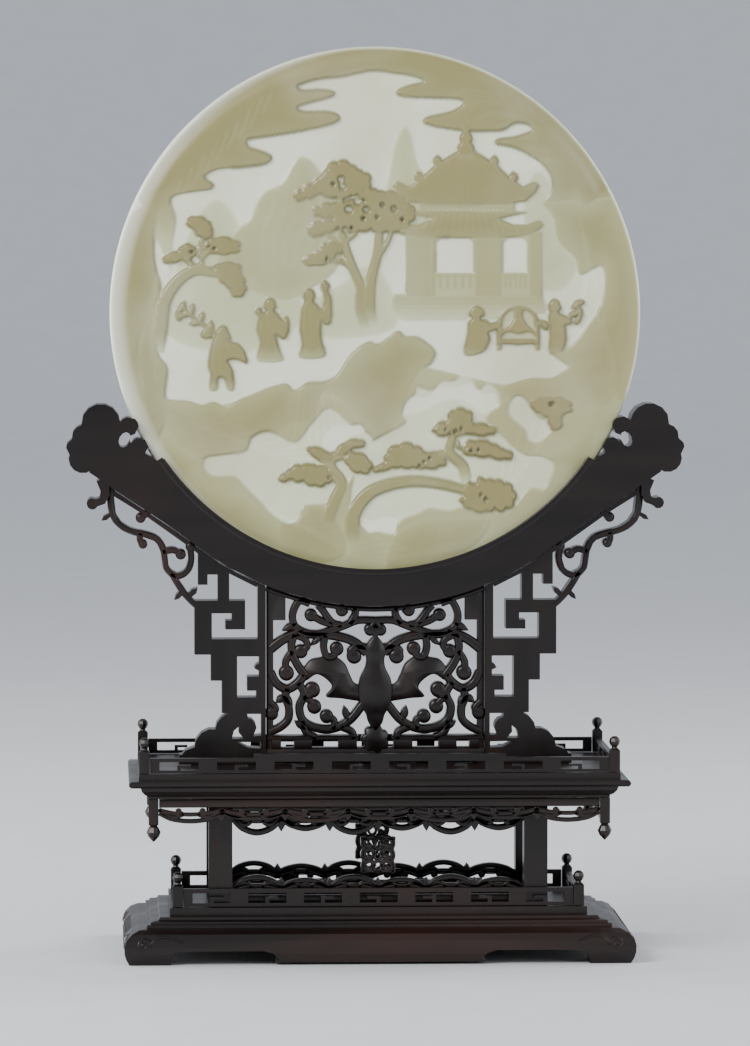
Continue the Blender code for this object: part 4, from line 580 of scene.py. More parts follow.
# Where the lower slope is cut through to the thin pale stone, and the spray thinner still
LOWER_SLOPE = 1.05
PALE_LEFT = (
    (-80.4, -68.3), (-73.3, -66.7), (-61.5, -65), (-58, -58.2), (-49.7, -55.7), (-37.9, -60.7),
    (-30.3, -52.3), (-21.9, -44.7), (-12, -52), (-5, -55.7), (-1.5, -60.3), (-10, -76), (-19.4, -86.8),
    (-23.6, -90.2), (-33.7, -91.1), (-36.2, -97), (-41.3, -99.9), (-49.7, -94.4), (-53.1, -90.2),
    (-61.5, -81.8), (-66.6, -77.2), (-75, -77.2), (-80, -74.2)
)
PALE_MIDDLE = (
    (-1.5, -60.3), (13.6, -52.3), (12.4, -48.1), (14.5, -41.4), (18.7, -38), (19.5, -34.6), (26.3, -36.3),
    (31.3, -32.1), (37.2, -32.1), (40.6, -29.1), (45.7, -31.3), (49, -36.3), (52.4, -33.3), (57.5, -36.3),
    (58.7, -43.1), (52.4, -49.4), (60, -58), (70.1, -66.7), (77.7, -67.5), (84.3, -70.8), (82.7, -77.6),
    (79.3, -83.5), (72.5, -83.5), (65.9, -91.1), (60.8, -94.4), (52.4, -93.6), (44, -91.1), (34.7, -93.6),
    (25.4, -92.3), (19.5, -94.9), (11.1, -98.6), (8.6, -104.5), (1.8, -103.6), (-8, -100), (-12, -92),
    (-10, -76), (-5, -66)
)
PALE_RIGHT = (
    (62.5, -44.7), (65.9, -39.2), (70.9, -40.5), (78, -50), (86.9, -48.1), (86.9, -51.5), (81, -57.4),
    (76, -61.6), (71.8, -59.9), (70.1, -54.9), (64.2, -49.8)
)
SPRAY_CENTRE = (
    (-25.3, -59.9), (-20.2, -53.2), (-12.6, -53.2), (-7.6, -52.3), (-5, -55.7), (-12, -58),
    (-16.8, -61.6), (-17.7, -67.5), (-23.7, -64)
)
SPRAY_RIGHT = (
    (13, -47), (17, -40), (24, -40), (30, -35), (38, -35), (45, -33), (50, -38), (56, -38), (56, -45),
    (50, -47), (42, -41), (32, -41), (22, -46)
)
SPRAY_FOOT = ((-8, -96), (-2, -98), (4, -96), (10, -97.6), (9, -104), (3, -103), (-4, -103.6))
SLOPE_EDGE = (
    (-100, -44), (-76, -44), (-50, -38), (-24, -34), (0, -24), (24, -26), (60, -34), (84, -32), (100, -18),
    (116, -16)
)
# Rows of grooves: how many, the first, the steps to the next, width and depth
STREAKS = (
    (7, ((-36, -36), (-37, -46), (-39, -60)), ((2.6, -0.6), (3.1, 0), (3.8, 0)), 0.5, 0.14),
    (8, ((-92, -50), (-80, -53), (-68, -50)), ((6, -2.4), (6, -2.2), (6, -2.6)), 0.6, 0.12),
    (8, ((-44, -96), (-30, -101), (-16, -99)), ((4, -2.4), (5, -2.4), (6, -2.4)), 0.7, 0.14),
    (6, ((96, -40), (84, -54), (76, -66)), ((-7, -4), (-5, -5), (-5, -7)), 0.7, 0.14),
)
# Banks and rocks: outline, level and dome
BANKS = (
    ([(-104, -41), (-96, -41), (-88, -41.6), (-82, -43.4), (-76, -42), (-70, -44.6), (-64, -41),
     (-58, -38.6), (-50, -35.2), (-42, -33.4), (-38, -36.6), (-32, -33), (-24, -32.4), (-18, -29),
     (-12, -20), (-4, -14), (2, -14.4), (10, -8.6), (14, -11), (20, -11.6), (28, -18), (26, -24),
     (20, -28), (16, -36), (12, -44), (8, -54), (2, -62), (-4, -58), (-10, -47), (-24, -36), (-30, -50),
     (-40, -52), (-48, -58), (-56, -66), (-64, -64), (-76, -70), (-92, -62)], MIDDLE + 0.15, 0.6),
    ([(60, -36), (66, -33), (74, -31), (84, -30.6), (92, -24), (97, -12), (106, -4), (113, -8),
     (112, -40), (100, -44), (90, -42), (78, -46), (66, -42)], MIDDLE, 0.6),
    ([(-104, -60), (-92, -64), (-84, -70), (-86, -80), (-74, -84), (-62, -86), (-52, -94), (-42, -104),
     (-34, -112), (-58, -112), (-84, -92)], MIDDLE - 0.1, 0.7),
    ([(-44, -98), (-34, -96), (-30, -92), (-20, -96), (-14, -112), (-28, -118), (-44, -112)],
     MIDDLE + 0.3, 0.4),
    ([(6, -120), (8, -108), (14, -102), (26, -98), (36, -98), (48, -97), (54, -99), (46, -110),
     (30, -118)], MIDDLE + 0.2, 0.6),
    ([(54, -99), (66, -101), (76, -92), (84, -90), (92, -78), (84, -74), (74, -76), (68, -72), (80, -66),
     (92, -60), (104, -52), (100, -72), (84, -92), (66, -106)], MIDDLE - 0.2, 0.6),
    ([(-14, -106), (-8, -94), (0, -102), (6, -112), (0, -122), (-12, -122)], MIDDLE - 0.1, 0.3),
)


def carve_ground(relief):
    """Path edges, the great rock, banks, falling water and scalloped spray."""
    relief.raise_to(to_rim(SLOPE_EDGE, 82, -70), LOWER_SLOPE, dome=0.2, dome_width=20, edge=1.6)
    for outline, level, dome in BANKS:
        relief.raise_to(flowing(outline), level, dome=dome, dome_width=15, edge=0.8)
    for outline in (PALE_LEFT, PALE_MIDDLE, PALE_RIGHT):
        relief.sink_to(flowing(outline, spans=4), FAR * 0.45, edge=1.1)
    for outline in (SPRAY_CENTRE, SPRAY_RIGHT, SPRAY_FOOT):
        relief.sink_to(flowing(outline, spans=4), GROUND)
    for count, first, steps, width, depth in STREAKS:
        relief.groove_row(count, first, steps, width, depth)


def carved_face():
    """All of the carving, from the back of the scene to its front, and the tones that follow from it, with
    painted shade on its steep edges and a painted glow of light at the rim.
    """
    relief = Relief(GRID)
    relief.height += GROUND_LIFT + GROUND_ROLL * ripples(relief.x, relief.z, 5, 60.0)
    for carve in (carve_border, carve_hills, carve_sky, carve_ground, carve_terrace, carve_rooms, carve_roofs,
                  carve_trees, carve_walkers, carve_load):
        carve(relief)
    marks = TOOL_MARKS * ripples(relief.x, relief.z, 9, 9.0)
    relief.height = np.clip(relief.height + marks, 0.0, RELIEF_TOP)
    relief.tone = relief.height / RELIEF_TOP
    face = relief.height.reshape(relief.count, relief.count)
    # Painted shade: steep walls of the relief are darkened into lines where shade falls along the cut edges
    slope = np.hypot(*np.gradient(face)).ravel() * relief.count / (2.0 * DISC_RADIUS)
    relief.line = np.clip((slope - EDGE_SHADE_SLOPE) / EDGE_SHADE_SPAN, 0.0, 1.0)
    finish_rim(relief)
    return relief


def finish_rim(relief):
    """Eases the carving into a plain rounded rim, and paints a pale glow of light along it, most at the left.
    """
    inward = DISC_RADIUS - np.hypot(relief.x, relief.z)
    past = eased(np.clip(1.0 - (inward - RIM_LEDGE) / RIM_FADE, 0.0, 1.0))
    relief.height = relief.height * (1.0 - past) + RIM_HEIGHT * past
    relief.line *= 1.0 - past
    over = np.clip(1.0 - inward / RIM_ROUND, 0.0, 1.0)
    relief.height -= RIM_ROUND * (1.0 - np.sqrt(np.maximum(0.0, 1.0 - over * over)))
    # Painted glow: a pale band of light painted into the colour along the rim, wider and stronger at the left
    left = np.clip((-1.15 * relief.x - 0.1 * relief.z) / DISC_RADIUS, 0.0, 1.0)
    reach = PAINTED_GLOW_LEAST + PAINTED_GLOW_MORE * left
    relief.glow = np.clip(1.0 - inward / reach, 0.0, 1.0) * (PAINTED_GLOW_FLOOR + (1.0 - PAINTED_GLOW_FLOOR) * left)


def add_object(name, data):
    made = bpy.data.objects.new(name, data)
    bpy.context.scene.collection.objects.link(made)
    return made


def jade_piece(material):
    """One closed body: the carved face, a rounded rim and a plain polished back."""
    relief = carved_face()
    count = relief.count
    front = DISC_BACK - PLATE * MM
    verts = np.column_stack([DISC_CENTRE[0] + relief.x * MM, front - relief.height * MM,
                             DISC_CENTRE[1] + relief.z * MM]).tolist()
    index = np.arange(count * count).reshape(count, count)
    corners = [index[:-1, :-1], index[:-1, 1:], index[1:, 1:], index[1:, :-1]]
    faces = np.stack(corners, axis=-1).reshape(-1, 4).tolist()
    rim = np.concatenate([index[0, :-1], index[:-1, -1], index[-1, :0:-1], index[:0:-1, 0]]).tolist()
    ring = rim
    for inset, depth in RIM_STEPS:
        start = len(verts)
        share = 1.0 - inset / DISC_RADIUS
        for corner in rim:
            x, _, z = verts[corner]
            verts.append([DISC_CENTRE[0] + (x - DISC_CENTRE[0]) * share, DISC_BACK - depth * MM,
                          DISC_CENTRE[1] + (z - DISC_CENTRE[1]) * share])
        following = list(range(start, start + len(rim)))
        for spot in range(len(rim)):
            after = (spot + 1) % len(rim)
            faces.append([ring[spot], following[spot], following[after], ring[after]])
        ring = following
    faces.append(ring[::-1])
    mesh = bpy.data.meshes.new("carved_jade_disc")
    mesh.from_pydata(verts, [], faces)
    mesh.validate()
    # The last two carry painted shade on the steep cut edges and a painted glow of light at the rim
    for name, values, behind in (("carved_tone", relief.tone, BACK_TONE), ("leafy", relief.leafy, 0.0),
                                 ("painted_edge_shade", relief.line, 0.0), ("rim_glow", relief.glow, 0.0)):
        padded = np.full(len(verts), behind)
        padded[:values.size] = values
        mesh.attributes.new(name, "FLOAT", "POINT").data.foreach_set("value", padded)
    mesh.shade_smooth()
    mesh.materials.append(material)
    piece = add_object("carved_jade_disc", mesh)
    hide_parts("jade_disc")
    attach(piece, "root")


# Finishes

class Finish:
    """A node material, built up by short calls."""

    def __init__(self, name):
        self.material = bpy.data.materials.new(name)
        self.material.use_nodes = True
        self.nodes = self.material.node_tree.nodes
        self.links = self.material.node_tree.links
        self.shader = self.nodes["Principled BSDF"]

    def node(self, kind, **values):
        made = self.nodes.new(kind)
        for key, value in values.items():
            if key in made.inputs:
                made.inputs[key].default_value = value
            else:
                setattr(made, key, value)
        return made

    def link(self, source, target):
        self.links.new(source, target)

    def surface(self, values):
        """Sets plain values of the shader."""
        for name, value in values.items():
            self.shader.inputs[name].default_value = value

    def carved(self, name):
        """A value that the mesh carries at each point."""
        return self.node("ShaderNodeAttribute", attribute_name=name).outputs["Fac"]

    def noise(self, scale, detail=4.0, stretch=(1.0, 1.0, 1.0)):
        place = self.node("ShaderNodeTexCoord")
        mapping = self.node("ShaderNodeMapping", Scale=stretch)
        texture = self.node("ShaderNodeTexNoise", Scale=scale, Detail=detail)
        self.link(place.outputs["Object"], mapping.inputs["Vector"])
        self.link(mapping.outputs["Vector"], texture.inputs["Vector"])
        return texture.outputs["Fac"]

    def ramp(self, source, stops):
        made = self.node("ShaderNodeValToRGB")
        elements = made.color_ramp.elements
        while len(elements) < len(stops):
            elements.new(0.5)
        for element, (place, colour) in zip(elements, stops):
            element.position = place
            element.color = (*colour, 1.0)
        self.link(source, made.inputs["Fac"])
        return made.outputs["Color"]

    def mix(self, first, tint, share):
        """Lays a tint over a colour, by the share at each point."""
        made = self.node("ShaderNodeMix")
        made.data_type = "RGBA"
        self.link(first, made.inputs["A"])
        made.inputs["B"].default_value = (*tint, 1.0)
        self.link(share, made.inputs["Factor"])
        return made.outputs["Result"]

    def scaled(self, source, low, high, to_low, to_high):
        made = self.node("ShaderNodeMapRange")
        for name, value in (("From Min", low), ("From Max", high), ("To Min", to_low), ("To Max", to_high)):
            made.inputs[name].default_value = value
        self.link(source, made.inputs["Value"])
        return made.outputs["Result"]

    def bump(self, source, strength, distance):
        made = self.node("ShaderNodeBump", Strength=strength, Distance=distance)
        self.link(source, made.inputs["Height"])
        self.link(made.outputs["Normal"], self.shader.inputs["Normal"])


JADE_GROUND = (0.85, 0.88, 0.69)
JADE_THIN = (0.62, 0.65, 0.41)
JADE_MIDDLE = (0.42, 0.42, 0.21)
JADE_RAISED = (0.29, 0.265, 0.105)
JADE_TAN = (0.36, 0.26, 0.11)
# Painted shade for the steep cut edges
JADE_PAINTED_EDGE_SHADE = (0.13, 0.11, 0.04)
JADE_LEAF = (0.24, 0.20, 0.07)
# A pale milky tone for the clouds in the stone, also used as the painted glow of light at the rim
JADE_MILK_AND_PAINTED_GLOW = (0.92, 0.94, 0.84)
JADE_TONES = ((0.03, JADE_GROUND), (0.16, JADE_THIN), (0.40, JADE_MIDDLE), (0.74, JADE_RAISED))
WOOD_TONES = ((0.30, (0.003, 0.002, 0.002)), (0.55, (0.009, 0.005, 0.004)), (0.80, (0.026, 0.010, 0.007)))
WOOD_RED = (0.034, 0.011, 0.008)
PAPER_TONES = ((0.3, (0.72, 0.73, 0.75)), (0.7, (0.75, 0.76, 0.78)))


def jade_finish():
    """Thin ground pale and milky, thick relief olive and tan, soft clouds through the stone, painted shade on
    the cut edges and a painted glow of light at the rim.
    """
    finish = Finish("pale_celadon_jade")
    colour = finish.ramp(finish.carved("carved_tone"), JADE_TONES)
    tints = (
        (JADE_TAN, finish.noise(9.0, 3.0), 0.5, 0.75, 0.35),
        (JADE_MILK_AND_PAINTED_GLOW, finish.noise(14.0, 5.0), 0.5, 0.8, 0.2),
        (JADE_LEAF, finish.carved("leafy"), 0.0, 1.0, 0.3),
        # Painted shade along the steep cut edges
        (JADE_PAINTED_EDGE_SHADE, finish.carved("painted_edge_shade"), 0.0, 1.0, 0.55),
        # Painted glow of light along the rim
        (JADE_MILK_AND_PAINTED_GLOW, finish.carved("rim_glow"), 0.0, 1.0, 0.85),
    )
    for tint, source, low, high, most in tints:
        colour = finish.mix(colour, tint, finish.scaled(source, low, high, 0.0, most))
    finish.link(colour, finish.shader.inputs["Base Color"])
    finish.surface({
        "Subsurface Weight": 0.15,
        "Subsurface Radius": (1.0, 0.95, 0.6),
        "Subsurface Scale": 0.0015,
        "Coat Weight": 0.25,
        "Coat Roughness": 0.12,
    })
    polish = finish.scaled(finish.noise(60.0, 4.0), 0.3, 0.7, 0.3, 0.44)
    finish.link(polish, finish.shader.inputs["Roughness"])
    finish.bump(finish.noise(420.0, 3.0), 0.12, 0.0004)
    return finish.material


def wood_finish(name, stretch):
    """Near-black rosewood: fine reddish grain along the board, a soft waxed sheen."""
    finish = Finish(name)
    grain = finish.noise(55.0, 7.0, stretch)
    broad = finish.scaled(finish.noise(7.0, 3.0), 0.55, 0.8, 0.0, 0.5)
    colour = finish.mix(finish.ramp(grain, WOOD_TONES), WOOD_RED, broad)
    finish.link(colour, finish.shader.inputs["Base Color"])
    finish.link(finish.scaled(grain, 0.2, 0.8, 0.24, 0.42), finish.shader.inputs["Roughness"])
    finish.surface({"Specular IOR Level": 0.34, "Coat Weight": 0.1, "Coat Roughness": 0.18})
    finish.bump(grain, 0.25, 0.0003)
    return finish.material


UPRIGHT = (1.0, 1.0, 0.12)
ACROSS = (0.12, 1.0, 1.0)
EDGE_ROUND = 0.00035
EDGE_ANGLE = 32.0


def dress_wood():
    """Eases every sharp edge a little, as years of waxing do, and gives each board its grain."""
    upright = wood_finish("rosewood_upright", UPRIGHT)
    across = wood_finish("rosewood_across", ACROSS)
    openwork(upright, across)
    for name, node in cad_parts.items():
        if name == "jade_disc":
            continue
        grain = upright if name.startswith(("leg", "fret", "strut", "corner")) or "_post_" in name else across
        for slot in node.material_slots:
            slot.material = grain
        bevel = node.modifiers.new("worn_edges", "BEVEL")
        bevel.width = EDGE_ROUND
        bevel.segments = 2
        bevel.limit_method = "ANGLE"
        bevel.angle_limit = math.radians(EDGE_ANGLE)
        bevel.harden_normals = False


# Carved openwork, drawn in millimetres on a board's own plane as (across, up)

SECTION_SIDES = 12
BUD_LEVELS = ((-1.0, 0.55), (-0.94, 0.86), (-0.8, 1.0), (0.8, 1.0), (0.94, 0.86), (1.0, 0.55))

# Curls and swags, as shares of a bay's pitch along the board and of its height downwards
CURL = ((0, 0.4), (0.07, 0.6), (0.24, 0.72), (0.38, 0.62), (0.31, 0.5))
INNER_SWAG = ((0, 0.44), (0.25, 0.58), (0.5, 0.62), (0.75, 0.58), (1, 0.44))
STRUT_RAIL = 1.5
STRUT_TIERS = 3


class Carving:
    """Rounded stems, buds and plates, gathered into one carved board."""

    def __init__(self, thickness):
        self.thickness = thickness
        self.verts = []
        self.faces = []

    def skin(self, start, rings, count):
        """Faces over rings of count points each, closed at both ends."""
        for ring in range(rings - 1):
            base = start + ring * count
            for step in range(count):
                after = (step + 1) % count
                self.faces.append((base + step, base + after, base + count + after, base + count + step))
        last = start + (rings - 1) * count
        self.faces.append(tuple(range(start + count - 1, start - 1, -1)))
        self.faces.append(tuple(range(last, last + count)))

    def section(self, half):
        """A softly rounded oblong across a stem: (to the side, through the board)."""
        ring = []
        for step in range(SECTION_SIDES):
            angle = math.tau * (step + 0.5) / SECTION_SIDES
            side, through = math.cos(angle), math.sin(angle)
            ring.append((half * math.copysign(abs(side) ** 0.45, side),
                         0.5 * self.thickness * math.copysign(abs(through) ** 0.3, through)))
        return ring

    def stem(self, points, width, end_width=None, bud=0.0, spans=5):
        """A stem through the points; its width runs evenly from one end to the other."""
        path = flowing(points, spans, closed=False)
        end_width = width if end_width is None else end_width
        self.sweep(path, np.linspace(width, end_width, len(path)))
        if bud:
            self.bud(points[-1], bud)

    def leaf(self, root, tip, fullness):
        shares = np.linspace(0.0, 1.0, 9)
        path = np.array(root)[None, :] + shares[:, None] * (np.array(tip) - np.array(root))[None, :]
        self.sweep(path, 2.0 * fullness * np.sin(math.pi * np.clip(shares * 0.94 + 0.05, 0.0, 1.0)) + 0.15)

    def bar(self, start, end, low, high):
        """A level bar, drawn from left to right whichever end is given first."""
        left, right = sorted((start, end))
        middle = 0.5 * (low + high)
        self.sweep(np.array([(left, middle), (0.5 * (left + right), middle), (right, middle)]),
                   np.full(3, high - low))

    def sweep(self, path, widths):
        """A rounded stem along a path."""
        start = len(self.verts)
        for (x, z), (along_x, along_z), width in zip(path, headings(path), widths):
            for side, through in self.section(0.5 * width):
                self.verts.append((x - along_z * side, through, z + along_x * side))
        self.skin(start, len(path), SECTION_SIDES)

    def bud(self, centre, radius, sides=16):
        """A round knob through the board, eased at both faces."""
        start = len(self.verts)
        half = 0.5 * self.thickness
        for through, share in BUD_LEVELS:
            for step in range(sides):
                angle = math.tau * step / sides
                self.verts.append((centre[0] + radius * share * math.cos(angle), half * through,
                                   centre[1] + radius * share * math.sin(angle)))
        self.skin(start, len(BUD_LEVELS), sides)

    def plate(self, outline, chamfer=0.5, inset=0.0):
        """A flat shape with its edges eased, set back by inset on both faces."""
        outline = np.asarray(outline, dtype=float)
        x, z = outline[:, 0], outline[:, 1]
        if np.sum(x * np.roll(z, -1) - np.roll(x, -1) * z) < 0.0:
            outline = outline[::-1]
        along = np.roll(outline, -1, axis=0) - np.roll(outline, 1, axis=0)
        along /= np.linalg.norm(along, axis=1)[:, None] + TINY
        inner = outline + chamfer * np.column_stack([-along[:, 1], along[:, 0]])
        half = 0.5 * self.thickness - inset
        start = len(self.verts)
        rings = ((inner, -half), (outline, chamfer - half), (outline, half - chamfer), (inner, half))
        for ring, through in rings:
            self.verts += [(x, through, z) for x, z in ring]
        self.skin(start, len(rings), len(outline))

    def place(self, name, material, spot, turn=0.0, over=False, replaced=None):
        """Sets the carving in the frame: spot is where its drawing's origin goes, turn is about Z."""
        cos_turn, sin_turn = math.cos(math.radians(turn)), math.sin(math.radians(turn))
        flip = -1.0 if over else 1.0
        placed = [(spot[0] + MM * (x * cos_turn - y * sin_turn), spot[1] + MM * (x * sin_turn + y * cos_turn),
                   spot[2] + MM * z * flip) for x, y, z in self.verts]
        mesh = bpy.data.meshes.new(name)
        mesh.from_pydata(placed, [], self.faces)
        form = bmesh.new()
        form.from_mesh(mesh)
        bmesh.ops.recalc_face_normals(form, faces=form.faces)
        form.to_mesh(mesh)
        form.free()
        mesh.shade_smooth()
        mesh.set_sharp_from_angle(angle=math.radians(50.0))
        mesh.materials.append(material)
        piece = add_object(name, mesh)
        if replaced:
            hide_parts(replaced)
        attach(piece, "root")


def board_span(node):
    """Length, height, thickness and middle of a board's solid, and its turn about Z."""
    low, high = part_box(node)
    size = [1000.0 * (high[axis] - low[axis]) for axis in range(3)]
    middle = [0.5 * (low[axis] + high[axis]) for axis in range(3)]
    turn = 0.0 if size[0] > size[1] else 90.0
    return max(size[0], size[1]), size[2], min(size[0], size[1]), middle, low[2], high[2], turn


def swag_board(node, material, bay, over, bar_share):
    """Openwork under a bar: swags between cusps, a pair of curls in each bay, a drop at each cusp."""
    length, height, thickness, middle, low, high, turn = board_span(node)
    carving = Carving(thickness)
    half = 0.5 * length
    carving.bar(-half, half, -bar_share * height, 0.0)
    bays = max(2, round(length / bay))
    pitch = length / bays
    strand = 0.1 * height + 0.95

    def drawn(edge, way, shares):
        return [(edge + way * along * pitch, -down * height) for along, down in shares]

    for index in range(bays):
        left = -half + index * pitch
        deep = 1.0 if index % 2 == 0 else 0.9
        lowest = deep - 0.6 * strand / height
        swag = ((0, 0.56), (0.2, 0.8 * deep), (0.5, lowest), (0.8, 0.8 * deep), (1, 0.56))
        carving.stem(drawn(left, 1, swag), strand)
        for side in (-1, 1):
            edge = left + (0.5 + 0.5 * side) * pitch
            carving.stem(drawn(edge, -side, CURL), 0.9 * strand, 0.7 * strand, bud=0.72 * strand)
        carving.stem(drawn(left, 1, INNER_SWAG), 0.9 * strand)
        if index:
            carving.leaf((left, -0.4 * height), (left, -0.88 * height), 0.75 * strand)
    top = low if over else high
    carving.place(node + "_carving", material, (middle[0], middle[1], top), turn, over, node)


def strut_carving(node, material):
    """Tiers of paired curls about an upright ring, between a bottom and a top rail."""
    length, height, thickness, middle, low, _, turn = board_span(node)
    carving = Carving(thickness)
    half = 0.5 * length
    carving.bar(-half, half, 0.0, STRUT_RAIL)
    carving.bar(-half, half, height - STRUT_RAIL, height)
    pitch = height / STRUT_TIERS
    for tier in range(STRUT_TIERS):
        centre = (tier + 0.5) * pitch
        ring = ellipse(0.0, centre, 1.9, 0.46 * pitch, sides=12)
        closed = np.vstack([ring, ring[:2]])
        carving.sweep(closed, np.full(len(closed), 1.3))
        for side in (-1, 1):
            outer = side * half
            curl = [(side * 1.6, centre), (side * 3.2, centre + 0.5 * pitch),
                    (0.76 * outer, centre + 0.3 * pitch), (0.8 * outer, centre - 0.2 * pitch),
                    (0.5 * outer, centre - 0.24 * pitch)]
            carving.stem(curl, 2.2, 1.8, bud=1.5)
            edge = [(0.8 * outer, centre - 0.5 * pitch), (0.9 * outer, centre),
                    (0.8 * outer, centre + 0.5 * pitch)]
            carving.stem(edge, 1.8, spans=3)
    carving.place(node + "_carving", material, (middle[0], middle[1], low), turn, replaced=node)


# The openwork panel: stems of one half, as points, start and end widths and a bud at the end
PANEL_STEMS = (
    (((31, 80), (36, 76.5), (39, 70.5), (38, 65), (33.5, 62), (28, 61), (22, 62.4), (14.5, 65), (8, 67.4),
     (0, 67.4)), 3, 3, 0),
    (((27, 79), (25, 72.5), (20.5, 66.5), (16, 65)), 3, 3, 0),
    (((20.4, 65.6), (25, 67), (30.4, 70)), 2.8, 3, 2.5),
    (((13.6, 78), (13.4, 74.6), (15.8, 72.2)), 3, 2.6, 2.4),
    (((12, 65.8), (9.6, 70), (9.6, 74.8), (10.4, 78)), 3, 3, 0),
    (((34, 62.2), (39, 60.6), (44, 58.2), (49.5, 54)), 3.6, 4, 0),
    (((0, 66), (2.4, 63)), 3.4, 3, 2.4),
    (((34, 61), (24, 60.6), (16.5, 59.6), (9.9, 57.2), (4, 52)), 3.4, 3.8, 0),
    (((4, 54.6), (8.4, 55), (11.6, 53), (10, 50.4)), 3.2, 3, 2.9),
    (((23.6, 60.6), (24.4, 55), (23, 50.6), (19.6, 50.6), (18.2, 54)), 3, 2.8, 2.7),
    (((38, 61), (39.6, 56), (38.8, 50.6), (36.2, 45.6), (33.2, 41.4)), 3, 3.6, 0),
    (((39.2, 53), (42.2, 48), (42, 42.6)), 2.8, 3, 3),
    (((37.6, 60.6), (33.2, 58.4), (32.2, 55), (35.2, 52.8)), 2.8, 2.8, 2.7),
    (((49.4, 43), (46.6, 37.6), (41.6, 35), (36.8, 37.6), (33.6, 41.6)), 3.4, 3.6, 0),
    (((41.6, 35.4), (42.4, 31), (40.8, 26), (41.2, 20.6), (44.8, 17), (50, 14.6)), 3.2, 3.2, 0),
    (((49.8, 29), (47, 25.8), (49, 23.4)), 2.6, 3, 2.6),
    (((36.4, 38), (33.6, 32.6), (35.8, 26.6), (34.6, 20.8), (30.4, 17.4), (23.2, 15.8), (16.5, 17.4),
     (11, 21.2), (6.4, 27), (2.6, 31)), 3.2, 3.6, 0),
    (((34, 31), (31, 32), (29.8, 34.6)), 2.8, 2.8, 3.1),
    (((34, 31), (31, 29.6), (28.8, 26.6)), 2.8, 2.8, 2.8),
    (((20, 16), (19.4, 20), (23, 22)), 2.8, 2.8, 2.7),
    (((34.6, 20), (32.8, 14.6), (28, 12)), 3.2, 2.6, 0),
    (((16, 17), (11, 14.6), (10.4, 11)), 3, 3, 0),
)
WING = (
    (1, 36), (9, 37.2), (11.8, 41.5), (14.4, 47), (20, 50.6), (26.5, 49.8), (31, 48.4), (34.6, 43),
    (33, 39), (27.8, 42), (22.8, 39.4), (20.4, 35.6), (23.2, 31.4), (16.5, 30.6), (9, 29.4), (1, 28.6)
)
PANEL_LEAVES = (
    ((37, 66.4), (44, 62.6), 1.7), ((25.6, 60), (30.4, 55.6), 1.4), ((13, 20), (14.8, 27), 1.8),
    ((44, 32), (39, 27.4), 2.2), ((42.6, 32), (46.8, 28.6), 1.8), ((32.8, 16), (38.2, 19.8), 1.6)
)
PANEL_POSTS = ((44.6, 48.8), (30, 38.4), (8.7, 17.5))
PANEL_TOP_GAP = 0.8
STEM_TOP_GAP = 1.9
STILE_INNER = 42.4
STILE_OUTER = 48.2
STILE_TOP = 67.7
STEM_SHARE = 1.22
WING_INSET = 0.9
BAT_BODY = (
    (0, 15), (3.2, 19), (4.4, 23), (7, 27.6), (8, 34), (7.2, 40), (4.8, 45), (4.2, 49), (5, 53),
    (3.4, 57), (0, 60)
)
LIP_COVER = 3.8
LIP_REACH = 55.5
LIP_WIDTH = 3.3
CARVING_DEPTH = 2.6
BRACKET_PROUD = 0.6


def panel_carving(material):
    """Scrolling vines about a bat over a lotus, between two stiles and over a pierced bottom rail."""
    low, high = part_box("openwork_panel")
    half = 500.0 * (high[0] - low[0])
    carving = Carving(1000.0 * (high[1] - low[1]))
    disc = 1000.0 * (DISC_CENTRE[1] - low[2])
    reach = 1000.0 * (DISC_CENTRE[1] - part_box("crescent_cradle")[0][2])

    def under_cradle(x):
        return disc - math.sqrt(max(0.0, reach * reach - x * x)) - PANEL_TOP_GAP

    for side in (-1, 1):
        for points, start, end, bud in PANEL_STEMS:
            path = [(side * x, min(z, under_cradle(x) - STEM_TOP_GAP)) for x, z in points]
            carving.stem(path, STEM_SHARE * start, STEM_SHARE * end, STEM_SHARE * bud)
        for root, tip, fullness in PANEL_LEAVES:
            carving.leaf((side * root[0], root[1]), (side * tip[0], tip[1]), fullness)
        for left, right in PANEL_POSTS:
            carving.bar(side * left, side * right, 6.0, 12.0)
        carving.plate(flowing([(side * x, z) for x, z in WING], 4), inset=WING_INSET)
        stile = ((STILE_OUTER, 0.0), (half, 0.0), (half, under_cradle(half)),
                 (STILE_INNER, under_cradle(STILE_INNER)), (STILE_INNER, STILE_TOP), (STILE_OUTER, STILE_TOP))
        carving.plate([(side * x, z) for x, z in stile], 0.3, inset=0.5 * WING_INSET)
        carving.bar(0.0, side * half, 0.0, 7.4)
        carving.bar(side * 8.0, side * half, 10.8, 13.0)
    seat = [(x, under_cradle(x) - 1.2) for x in np.linspace(-half, half, 21)]
    carving.stem(seat, 2.4, spans=3)
    body = list(BAT_BODY) + [(-x, z) for x, z in BAT_BODY[-2:0:-1]]
    carving.plate(flowing(body, 4))
    carving.bar(-1.3, 1.3, 58.0, 67.0)
    carving.plate(lobed(0.0, 11.0, 6.2, 6.4, 7), 0.5)
    middle = 0.5 * (low[1] + high[1])
    carving.place("openwork_panel_carving", material, (0.0, middle, low[2]), replaced="openwork_panel")


